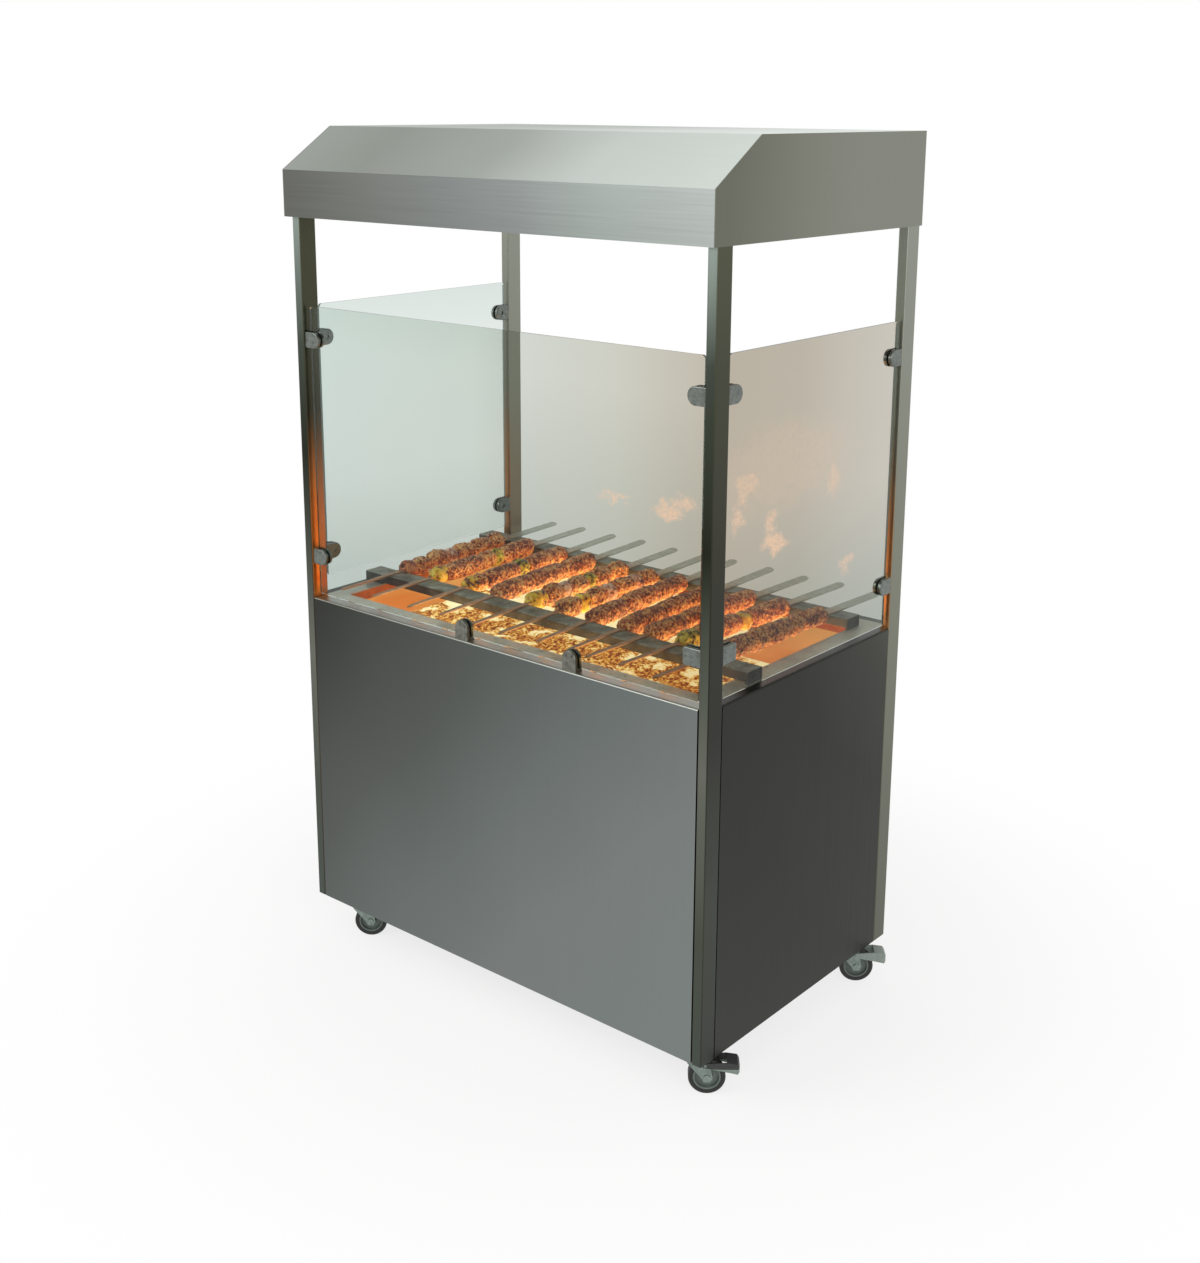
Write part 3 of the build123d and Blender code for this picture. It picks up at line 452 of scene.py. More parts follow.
@dataclass(frozen=True)
class Grilled(Finish):
    """Grilled food: a browned crust over a paler flesh, charred in spots, with painted highlights as pale
    glints.
    """

    flesh: str = "#8f4a30"
    crust: str = "#6a2c1c"
    char: str = "#2b110a"
    painted_glint: str = "#d08a5a"
    grain: float = 0.0045
    gloss: float = 0.36
    relief: float = 0.9
    char_share: float = 0.35

    def build(self, tree: Tree) -> Socket:
        """Build the food: colour by crumb and patch, char and painted glints, and a bump of crumb size.

        Args:
            tree: Empty node tree of the material.

        Returns:
            The shader's output socket.
        """
        place = add(tree, "TexCoord", out="Object")
        crumb = add(tree, "TexNoise", {
            "Vector": place, "Scale": 1 / self.grain, "Detail": 2.0, "Roughness": 0.6})
        patch = add(tree, "TexNoise", {"Vector": place, "Scale": 42.0, "Detail": 3.0, "Roughness": 0.6})
        mixed = add(tree, "Math", {0: patch, 1: 0.4}, operation="MULTIPLY")
        grain = add(tree, "Math", {0: crumb, 1: 0.6, 2: mixed}, operation="MULTIPLY_ADD")
        low = 0.38 + 0.1 * self.char_share
        # The palest stop is painted highlight: pale glints on the crumbs.
        colour = add(tree, "ValToRGB", {"Fac": grain}, (
            (low, self.char), (low + 0.045, self.crust), (low + 0.095, self.flesh),
            (low + 0.165, self.painted_glint)))
        bump = add(tree, "Bump", {"Height": crumb, "Strength": self.relief, "Distance": 0.003})
        return add(tree, "BsdfPrincipled", {
            "Base Color": colour, "Roughness": self.gloss, "Specular IOR Level": 0.45,
            "Subsurface Weight": 0.05, "Subsurface Radius": (0.006, 0.002, 0.001), "Normal": bump})


@dataclass(frozen=True)
class PaintedFlame:
    """A soft patch of painted reflection of the fire on a pane.

    Attributes:
        centre: Middle of the patch in metres.
        half: Half of its size along each axis in metres.
        amount: How strongly it shows, up to one.
    """

    centre: Point
    half: Point
    amount: float = 0.9


@dataclass(frozen=True)
class Pane(Finish):
    """Clear tempered glass of six millimetres with a grey-green body and dark ground edges.

    Its tint runs across the pane, since smoke films it unevenly, and deepens towards one
    height. Soft warm patches are a painted reflection of the fire. The index is set low, so
    that the white studio's mirror image doesn't hide the food behind the glass.
    """

    across: Point = (0.0, 1.0, 0.0)
    along: Point = (1.0, 0.0, 0.0)
    span: tuple[float, float] = (-0.57, 0.57)
    tints: Stops = ((0.0, "#e4ece8"), (0.45, "#dce2db"), (0.55, "#d2d7d0"), (0.8, "#cecec3"),
                    (1.0, "#c1bbac"))
    film: str = "#d2d7d4"
    film_z: tuple[float, float] = (0.95, 1.5)
    painted_flames: tuple[PaintedFlame, ...] = ()
    # Colour of the painted fire reflection.
    glow: str = "#f2c8a6"
    edge: str = "#2a332e"

    def patch(self, tree: Tree, place: Socket, flame: PaintedFlame) -> Socket:
        """Build the share of one patch of painted fire reflection.

        Args:
            tree: Node tree of the material.
            place: Socket of the uneven place on the pane.
            flame: The patch.

        Returns:
            Socket with one in the patch's middle and zero outside it.
        """
        gap = add(tree, "VectorMath", {0: place, 1: flame.centre}, operation="SUBTRACT")
        ratio = add(tree, "VectorMath", {0: gap, 1: flame.half}, operation="DIVIDE")
        reach = add(tree, "VectorMath", {0: ratio}, operation="LENGTH", out="Value")
        return add(tree, "MapRange", {
            "Value": reach, "From Min": 0.35, "From Max": 1.0,
            "To Min": flame.amount, "To Max": 0.0}, interpolation_type="SMOOTHSTEP")

    def painted_flame_share(self, tree: Tree, place: Socket) -> Socket:
        """Build how much painted reflection of the fire shows at each place.

        Args:
            tree: Node tree of the material.
            place: Socket of the place on the pane.

        Returns:
            Socket with the share, from zero to one.
        """
        ripple = add(tree, "TexNoise", {
            "Vector": place, "Scale": 26.0, "Detail": 5.0, "Roughness": 0.66}, out="Color")
        shift = add(tree, "MapRange", {
            "Vector": ripple, 9: (-0.05, -0.05, -0.05), 10: (0.05, 0.05, 0.05)},
            data_type="FLOAT_VECTOR", out="Vector")
        moved = add(tree, "VectorMath", {0: place, 1: shift}, operation="ADD")
        total = None
        for flame in self.painted_flames:
            share = self.patch(tree, moved, flame)
            if total is not None:
                share = add(tree, "Math", {0: total, 1: share}, operation="MAXIMUM")
            total = share
        threads = add(tree, "TexNoise", {
            "Vector": place, "Scale": 110.0, "Detail": 4.0, "Roughness": 0.65, "Distortion": 1.2})
        thin = add(tree, "MapRange", {
            "Value": threads, "From Min": 0.38, "From Max": 0.6, "To Min": 0.3, "To Max": 1.0})
        return add(tree, "Math", {0: total, 1: thin}, operation="MULTIPLY")

    def build(self, tree: Tree) -> Socket:
        """Build the glass: a tint across and down the pane, warm patches of painted fire reflection and
        dark edges.

        Args:
            tree: Empty node tree of the material.

        Returns:
            The shader's output socket.
        """
        place = add(tree, "TexCoord", out="Object")
        along_z = add(tree, "SeparateXYZ", {0: place}, out="Z")
        reach = add(tree, "VectorMath", {0: place, 1: self.along}, operation="DOT_PRODUCT", out="Value")
        share = add(tree, "MapRange", {
            "Value": reach, "From Min": self.span[0], "From Max": self.span[1]})
        shown = add(tree, "ValToRGB", {"Fac": share}, self.tints)
        height = add(tree, "MapRange", {
            "Value": along_z, "From Min": self.film_z[0], "From Max": self.film_z[1]})
        film = add(tree, "ValToRGB", {"Fac": height}, ((0.0, self.film), (1.0, "#ffffff")))
        tint = add(tree, "VectorMath", {0: shown, 1: film}, operation="MULTIPLY")
        if self.painted_flames:
            tint = add(tree, "Mix", {
                0: self.painted_flame_share(tree, place), 6: tint, 7: self.glow}, data_type="RGBA", out=2)
        flat = add(tree, "Math", {0: facing(tree, self.across)}, operation="ABSOLUTE")
        colour = add(tree, "Mix", {0: flat, 6: self.edge, 7: tint}, data_type="RGBA", out=2)
        return add(tree, "BsdfPrincipled", {
            "Base Color": colour, "Roughness": 0.0, "IOR": 1.2, "Transmission Weight": 1.0})


@dataclass(frozen=True)
class Moulded(Finish):
    """A plain moulded or plated surface with a fine mottle, such as rubber, nylon or zinc.

    Below a height it can have a second pair of tones.
    """

    light: str = "#222222"
    dark: str = "#141414"
    mottle: float = 0.006
    roughness: float = 0.6
    metallic: float = 0.0
    relief: float = 0.15
    low_tones: tuple[str, str] | None = None
    low_z: float = 0.0

    def build(self, tree: Tree) -> Socket:
        """Build the surface: two close tones in a mottle that also moves gloss and bump.

        Args:
            tree: Empty node tree of the material.

        Returns:
            The shader's output socket.
        """
        place = add(tree, "TexCoord", out="Object")
        mottle = add(tree, "TexNoise", {
            "Vector": place, "Scale": 1 / self.mottle, "Detail": 4.0, "Roughness": 0.6})
        colour = add(tree, "ValToRGB", {"Fac": mottle}, ((0.3, self.dark), (0.7, self.light)))
        if self.low_tones:
            along_z = add(tree, "SeparateXYZ", {0: place}, out="Z")
            low = add(tree, "ValToRGB", {"Fac": mottle}, (
                (0.3, self.low_tones[1]), (0.7, self.low_tones[0])))
            above = add(tree, "MapRange", {
                "Value": along_z, "From Min": self.low_z, "From Max": self.low_z + 0.001})
            colour = add(tree, "Mix", {0: above, 6: low, 7: colour}, data_type="RGBA", out=2)
        rough = add(tree, "MapRange", {
            "Value": mottle, "To Min": self.roughness - 0.08, "To Max": self.roughness + 0.08})
        bump = add(tree, "Bump", {"Height": mottle, "Strength": self.relief, "Distance": 0.001})
        return add(tree, "BsdfPrincipled", {
            "Base Color": colour, "Metallic": self.metallic, "Roughness": rough, "Normal": bump})


@dataclass(frozen=True)
class WheelFinish(Finish):
    """A black rubber tyre on a grey nylon hub, told apart by the distance from the axle."""

    centre: Point = (0.0, 0.0, 0.04)
    heading: float = 0.67
    rim: float = 0.030
    tyre: str = "#161615"
    hub: str = "#66706a"

    def build(self, tree: Tree) -> Socket:
        """Build the wheel: the radius about the axle picks hub or tyre.

        Args:
            tree: Empty node tree of the material.

        Returns:
            The shader's output socket.
        """
        place = add(tree, "TexCoord", out="Object")
        moved = add(tree, "VectorMath", {0: place, 1: self.centre}, operation="SUBTRACT")
        axle = (-math.sin(self.heading), math.cos(self.heading), 0.0)
        along = add(tree, "VectorMath", {0: moved, 1: axle}, operation="DOT_PRODUCT", out="Value")
        off = add(tree, "VectorMath", {0: axle, "Scale": along}, operation="SCALE")
        spoke = add(tree, "VectorMath", {0: moved, 1: off}, operation="SUBTRACT")
        radius = add(tree, "VectorMath", {0: spoke}, operation="LENGTH", out="Value")
        step = add(tree, "MapRange", {
            "Value": radius, "From Min": self.rim - 0.0004, "From Max": self.rim})
        mottle = add(tree, "TexNoise", {"Vector": place, "Scale": 220.0, "Detail": 3.0})
        colour = add(tree, "Mix", {0: step, 6: self.hub, 7: self.tyre}, data_type="RGBA", out=2)
        bump = add(tree, "Bump", {"Height": mottle, "Strength": 0.15, "Distance": 0.001})
        rough = add(tree, "MapRange", {"Value": step, "To Min": 0.4, "To Max": 0.55})
        return add(tree, "BsdfPrincipled", {"Base Color": colour, "Roughness": rough, "Normal": bump})


@dataclass(frozen=True)
class StudioFloor(Finish):
    """A white painted floor that keeps a soft shadow near the grill and fades into the backdrop."""

    paint: str = "#f4f4f2"
    near: float = 0.55
    far: float = 1.7
    least: float = 0.78

    def build(self, tree: Tree) -> Socket:
        """Build the floor: matte paint, and plain white further off for rays that see it.

        Args:
            tree: Empty node tree of the material.

        Returns:
            The shader's output socket.
        """
        place = add(tree, "TexCoord", out="Object")
        reach = add(tree, "VectorMath", {0: place}, operation="LENGTH", out="Value")
        fade = add(tree, "MapRange", {
            "Value": reach, "From Min": self.near, "From Max": self.far,
            "To Min": self.least, "To Max": 1.0}, interpolation_type="SMOOTHSTEP")
        share = add(tree, "Math", {0: fade, 1: seen(tree)}, operation="MULTIPLY")
        matte = add(tree, "BsdfPrincipled", {"Base Color": self.paint, "Roughness": 0.9})
        white = add(tree, "Emission", {"Color": (1.0, 1.0, 1.0, 1.0), "Strength": 1.0})
        return add(tree, "MixShader", {0: share, 1: matte, 2: white})


class Food(Enum):
    """What is threaded on the skewers."""

    MINCE = "mince"
    MEAT = "meat"
    ONION = "onion"
    PEPPER = "pepper"
    GREEN = "green pepper"
    ROUND = "round slice"


@dataclass(frozen=True)
class FoodShape:
    """How one kind of food is shaped and finished.

    Attributes:
        finish: Surface finish.
        barrel: Exponent of the lengthwise outline; high values have flat ends.
        box: Exponent of the cross-section; two is round, higher is squarer.
        lumps: Height of the surface's lumps in millimetres.
        lump_size: Length of those lumps in millimetres.
        overlap: Length of the piece against its share of the skewer.
        crumbs: Height of fine crumbs on the surface in millimetres.
    """

    finish: Finish
    barrel: float
    box: float
    lumps: float
    lump_size: float
    overlap: float
    crumbs: float = 0.15


# Each finish gives flesh, crust, char and painted glint colours.
FOODS: dict[Food, FoodShape] = {
    Food.MINCE: FoodShape(
        Grilled("grilled_mince", "#c46a3a", "#9a4a24", "#562812", "#f4ba78",
                grain=0.0062, gloss=0.36, relief=0.9, char_share=0.35),
        barrel=7.0, box=2.1, lumps=1.1, lump_size=10.0, overlap=1.0, crumbs=1.1),
    Food.MEAT: FoodShape(
        Grilled("grilled_meat", "#ce783a", "#a45424", "#502410", "#f6c27c",
                grain=0.006, gloss=0.3, relief=0.7, char_share=0.3),
        barrel=2.8, box=2.7, lumps=1.8, lump_size=14.0, overlap=1.0, crumbs=0.5),
    Food.ONION: FoodShape(
        Grilled("grilled_onion", "#c98f78", "#a86450", "#4c2416", "#e8c4a8",
                grain=0.010, gloss=0.28, relief=0.3, char_share=0.1),
        barrel=3.0, box=2.2, lumps=0.8, lump_size=18.0, overlap=1.25),
    Food.PEPPER: FoodShape(
        Grilled("grilled_yellow_pepper", "#e2ab1a", "#c47c10", "#5c2c08", "#f2cf4e",
                grain=0.014, gloss=0.25, relief=0.25, char_share=0.12),
        barrel=2.6, box=2.4, lumps=1.3, lump_size=20.0, overlap=1.1),
    Food.GREEN: FoodShape(
        Grilled("grilled_green_pepper", "#b89a22", "#807016", "#403008", "#dcc850",
                grain=0.010, gloss=0.28, relief=0.4, char_share=0.3),
        barrel=3.0, box=2.5, lumps=1.5, lump_size=12.0, overlap=1.06),
    Food.ROUND: FoodShape(
        Grilled("grilled_round_slice", "#b2522a", "#84361a", "#36140a", "#d88a54",
                grain=0.010, gloss=0.25, relief=0.35, char_share=0.2),
        barrel=4.0, box=2.0, lumps=0.8, lump_size=16.0, overlap=1.06),
}

# The food of each skewer from front to rear: kind, share of the length and radius in millimetres
MENUS: tuple[tuple[tuple[Food, float, float], ...], ...] = (
    ((Food.ROUND, 1.0, 23), (Food.MEAT, 2.2, 22), (Food.MEAT, 2.4, 24), (Food.ONION, 0.9, 20),
     (Food.MEAT, 2.4, 23), (Food.MEAT, 2.4, 22), (Food.MEAT, 2.2, 23)),
    ((Food.PEPPER, 1.9, 23), (Food.MINCE, 5.0, 22), (Food.MEAT, 2.0, 23), (Food.GREEN, 0.9, 22),
     (Food.MINCE, 5.0, 22)),
    ((Food.PEPPER, 1.1, 21), (Food.MEAT, 1.4, 21), (Food.MINCE, 4.2, 23), (Food.GREEN, 1.5, 22),
     (Food.MINCE, 5.4, 22)),
    ((Food.MINCE, 4.6, 22), (Food.MINCE, 4.8, 23), (Food.MINCE, 4.4, 22)),
    ((Food.PEPPER, 1.8, 22), (Food.MEAT, 2.2, 24), (Food.ONION, 1.0, 22), (Food.MEAT, 2.4, 24),
     (Food.GREEN, 0.9, 20), (Food.MEAT, 2.4, 23), (Food.MEAT, 2.2, 22)),
    ((Food.MEAT, 2.2, 23), (Food.PEPPER, 1.2, 22), (Food.MEAT, 2.2, 24), (Food.ONION, 0.9, 23),
     (Food.MEAT, 2.6, 24), (Food.ONION, 0.9, 22), (Food.MEAT, 2.4, 22)),
    ((Food.MINCE, 4.6, 22), (Food.MINCE, 4.8, 23), (Food.MINCE, 4.4, 21)),
    ((Food.MINCE, 5.0, 23), (Food.MINCE, 4.4, 22), (Food.MINCE, 4.4, 22)),
    ((Food.MINCE, 4.4, 22), (Food.MINCE, 5.0, 23), (Food.MINCE, 4.2, 22)),
    ((Food.GREEN, 2.0, 22), (Food.MINCE, 4.6, 22), (Food.PEPPER, 1.4, 21), (Food.MINCE, 4.6, 22)),
    ((Food.MINCE, 4.0, 23), (Food.MEAT, 2.0, 24), (Food.MINCE, 4.2, 22), (Food.MEAT, 2.2, 22),
     (Food.MINCE, 3.6, 21)),
)


@dataclass
class Relief:
    """A smooth, uneven field in space: a sum of sine waves in fixed random directions."""

    rng: np.random.Generator
    wave: float
    count: int = 14
    spread: tuple[float, float] = (0.6, 1.6)
    peak: float = 1.6

    def __post_init__(self) -> None:
        """Draw the waves' directions, lengths and starting points."""
        heading = self.rng.normal(size=(self.count, 3))
        heading /= np.linalg.norm(heading, axis=1, keepdims=True)
        length = self.wave * self.rng.uniform(*self.spread, size=(self.count, 1))
        self.vectors = heading * 2 * np.pi / length
        self.phase = self.rng.uniform(0, 2 * np.pi, size=self.count)

    def at(self, points: np.ndarray) -> np.ndarray:
        """Give the field, about -1 to 1, at an array of points whose last axis is x, y, z."""
        waves = np.sin(points @ self.vectors.T + self.phase)
        return waves.sum(axis=-1) / math.sqrt(self.count / 2) / self.peak


@dataclass
class Surface:
    """Vertices and faces of one mesh, gathered piece by piece."""

    points: list[np.ndarray] = field(default_factory=list)
    faces: list[list[int]] = field(default_factory=list)
    marks: list[int] = field(default_factory=list)
    count: int = 0

    def join(self, points: np.ndarray, faces: list[list[int]], mark: int = 0) -> None:
        """Add one closed surface.

        Args:
            points: Vertices as rows of x, y, z.
            faces: Vertex numbers of each face, counted from this surface's first vertex.
            mark: Material number of these faces.
        """
        self.points.append(points)
        self.faces += [[i + self.count for i in face] for face in faces]
        self.marks += [mark] * len(faces)
        self.count += len(points)

    def make(self, name: str, finishes: list[Finish], body: str, slot: str) -> bpy.types.Object:
        """Make the object, dress it and let it ride on its body.

        Args:
            name: Name of the piece.
            finishes: Finish of each material number.
            body: CAD body that carries the piece.
            slot: Material slot of the record; not used.

        Returns:
            The new object.
        """
        mesh = bpy.data.meshes.new(name)
        mesh.from_pydata(np.concatenate(self.points).tolist(), [], self.faces)
        for finish in finishes:
            mesh.materials.append(finish.make())
        mesh.polygons.foreach_set("material_index", self.marks)
        mesh.polygons.foreach_set("use_smooth", [True] * len(self.faces))
        mesh.update()
        piece = bpy.data.objects.new(name, mesh)
        bpy.context.scene.collection.objects.link(piece)
        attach(piece, body)
        return piece


def closed_rings(rings: np.ndarray, start: np.ndarray, end: np.ndarray) -> Skin:
    """Join rings of points into a closed skin with a pole at each end.

    Args:
        rings: Array of rings by points by x, y, z; a ring turns from x towards z as it goes.
        start: Pole before the first ring.
        end: Pole after the last ring.

    Returns:
        The vertices and the faces.
    """
    rows, columns = rings.shape[:2]
    index = np.arange(rows * columns).reshape(rows, columns)
    after = np.roll(index, -1, axis=1)
    quads = np.stack([index[:-1], after[:-1], after[1:], index[1:]], axis=-1).reshape(-1, 4)
    first, last = rows * columns, rows * columns + 1
    head = np.stack([np.full(columns, first), after[0], index[0]], axis=-1)
    tail = np.stack([np.full(columns, last), index[-1], after[-1]], axis=-1)
    points = np.concatenate([rings.reshape(-1, 3), start[None], end[None]])
    return points, quads.tolist() + head.tolist() + tail.tolist()


def closed_slab(x: np.ndarray, y: np.ndarray, top: np.ndarray, low: np.ndarray) -> Skin:
    """Make a closed slab between a top and a bottom height over a grid.

    Args:
        x: Grid of x values, rows along x and columns along y.
        y: Grid of y values.
        top: Heights of the upper face.
        low: Heights of the lower face.

    Returns:
        The vertices and the faces.
    """
    rows, columns = x.shape
    index = np.arange(rows * columns).reshape(rows, columns)
    under = index + rows * columns
    upper = np.stack([index[:-1, :-1], index[1:, :-1], index[1:, 1:], index[:-1, 1:]], axis=-1)
    lower = np.stack([under[:-1, :-1], under[:-1, 1:], under[1:, 1:], under[1:, :-1]], axis=-1)
    rim = np.concatenate([index[:, 0], index[-1, 1:], index[-2::-1, -1], index[0, -2:0:-1]])
    next_rim = np.roll(rim, -1)
    shift = rows * columns
    walls = np.stack([rim + shift, next_rim + shift, next_rim, rim], axis=-1)
    points = np.concatenate([
        np.stack([x, y, top], axis=-1).reshape(-1, 3), np.stack([x, y, low], axis=-1).reshape(-1, 3)])
    faces = upper.reshape(-1, 4).tolist() + lower.reshape(-1, 4).tolist() + walls.tolist()
    return points, faces


@dataclass
class SkeweredFood:
    """The food on one skewer, as closed pieces threaded along its blade."""

    number: int
    ring_gap: float = 1.9 * MM
    ring_share: float = 1.3
    end_rings: int = 16
    caps: tuple[float, ...] = (0.25, 0.5, 0.75)
    around: int = 64
    crumb_size: float = 6.5 * MM
    crumb_waves: int = 24
    small_lumps: float = 0.45
    slant: float = 0.22
    size_spread: tuple[float, float] = (0.97, 1.05)
    drift: tuple[float, float] = (1.4 * MM, 1.2 * MM)
    first_seed: int = 100

    @property
    def node(self) -> str:
        """Name of the CAD solid that this food stands for."""
        return f"kebab_{self.number:02d}"

    def axis(self, nodes: Nodes) -> tuple[np.ndarray, np.ndarray, float]:
        """Find where the food starts, which way the blade runs and how long the food is.

        Args:
            nodes: CAD nodes by name.

        Returns:
            Start point, unit direction and length, in metres.
        """
        blade = vertices_of(nodes[f"skewer_{self.number:02d}"])
        middle = blade.mean(axis=0)
        direction = np.linalg.svd(blade - middle, full_matrices=False)[2][0]
        direction = direction * (1 if direction[1] > 0 else -1)
        direction[2] = 0.0
        direction /= np.linalg.norm(direction)
        side = np.array([direction[1], -direction[0], 0.0])
        food = vertices_of(nodes[self.node])
        reach = food @ direction
        across = food @ side
        start = direction * reach.min() + side * (across.min() + across.max()) / 2
        start[2] = (food[:, 2].min() + food[:, 2].max()) / 2
        return start, direction, float(reach.max() - reach.min())

    def piece(self, shape: FoodShape, length: float, radius: float, rng: np.random.Generator) -> Skin:
        """Make one threaded piece about the origin, along Y.

        The outline is a superellipse turned about Y, with rings closer at its ends and a
        few more across each flat end. The section is a superellipse too, and a field of
        waves pushes the skin in and out along lines from the middle.

        Args:
            shape: Kind of piece.
            length: Length along the blade in metres.
            radius: Radius in metres.
            rng: Source of its unevenness.

        Returns:
            The vertices and the faces.
        """
        count = self.end_rings + int(self.ring_share * length / self.ring_gap)
        share = np.sin(np.linspace(-np.pi / 2, np.pi / 2, count)[1:-1])
        outline = (1 - np.abs(share) ** shape.barrel) ** (1 / shape.barrel)
        cap = np.array(self.caps) * outline[0]
        end = np.ones(len(cap))
        along = np.concatenate([-end, share, end]) * length / 2
        wide = np.concatenate([cap, outline, cap[::-1]]) * radius
        turn = np.linspace(0, 2 * np.pi, self.around, endpoint=False)
        box = shape.box
        section = (np.abs(np.cos(turn)) ** box + np.abs(np.sin(turn)) ** box) ** (-1 / box)
        section = section / section.mean()
        spin = rng.uniform(0, np.pi)
        ring_x = wide[:, None] * (section * np.cos(turn + spin))[None]
        ring_z = wide[:, None] * (section * np.sin(turn + spin))[None]
        ring_y = np.repeat(along[:, None], self.around, axis=1)
        points = np.stack([ring_x, ring_y, ring_z], axis=-1)
        poles = np.array([[0, -length / 2, 0], [0, length / 2, 0]], float)
        relief = Relief(rng, shape.lump_size * MM)
        small = Relief(rng, shape.lump_size * MM * self.small_lumps)
        crumbs = Relief(rng, self.crumb_size, self.crumb_waves)
        height = shape.lumps * MM
        fields = ((relief, height), (small, height * self.small_lumps), (crumbs, shape.crumbs * MM))
        slant = rng.uniform(-self.slant, self.slant, size=2)
        points, poles = (self.rough(part, fields, slant) for part in (points, poles))
        return closed_rings(points, poles[0], poles[1])

    @staticmethod
    def rough(points: np.ndarray, fields: tuple[tuple[Relief, float], ...],
              slant: np.ndarray) -> np.ndarray:
        """Push points in and out by the wave fields and slant the piece's ends.

        Args:
            points: Points about the piece's middle.
            fields: Wave fields with the height of each in metres.
            slant: Lengthwise shift by x and by z.

        Returns:
            The moved points.
        """
        out = points / np.maximum(np.linalg.norm(points, axis=-1, keepdims=True), 1e-9)
        push = sum(relief.at(points) * height for relief, height in fields)
        moved = points + out * push[..., None]
        moved[..., 1] += moved[..., 0] * slant[0] + moved[..., 2] * slant[1]
        return moved

    def build(self, nodes: Nodes) -> bpy.types.Object:
        """Thread every piece of the menu and replace the CAD solid.

        Args:
            nodes: CAD nodes by name.

        Returns:
            The new object.
        """
        menu = MENUS[self.number - 1]
        start, direction, length = self.axis(nodes)
        side = np.array([direction[1], -direction[0], 0.0])
        frame = np.stack([side, direction, np.array([0.0, 0.0, 1.0])])
        total = sum(share for _, share, _ in menu)
        rng = np.random.default_rng(self.first_seed + self.number)
        kinds = sorted({kind for kind, _, _ in menu}, key=lambda kind: kind.value)
        surface = Surface()
        reach = 0.0
        for kind, share, radius in menu:
            shape = FOODS[kind]
            part = length * share / total
            size = radius * MM * rng.uniform(*self.size_spread)
            points, faces = self.piece(shape, part * shape.overlap, size, rng)
            aside, up = (rng.uniform(-most, most) for most in self.drift)
            drift = np.array([aside, 0.0, up])
            place = start + direction * (reach + part / 2)
            surface.join((points + drift) @ frame + place, faces, kinds.index(kind))
            reach += part
        piece = surface.make(f"food_{self.number:02d}", [FOODS[kind].finish for kind in kinds],
                             f"skewer_{self.number:02d}_with_food", "food")
        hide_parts(self.node)
        return piece


def vertices_of(piece: bpy.types.Object) -> np.ndarray:
    """Read a mesh object's vertices as rows of x, y, z."""
    flat = np.zeros(len(piece.data.vertices) * 3, np.float32)
    piece.data.vertices.foreach_get("co", flat)
    return flat.reshape(-1, 3).astype(float)


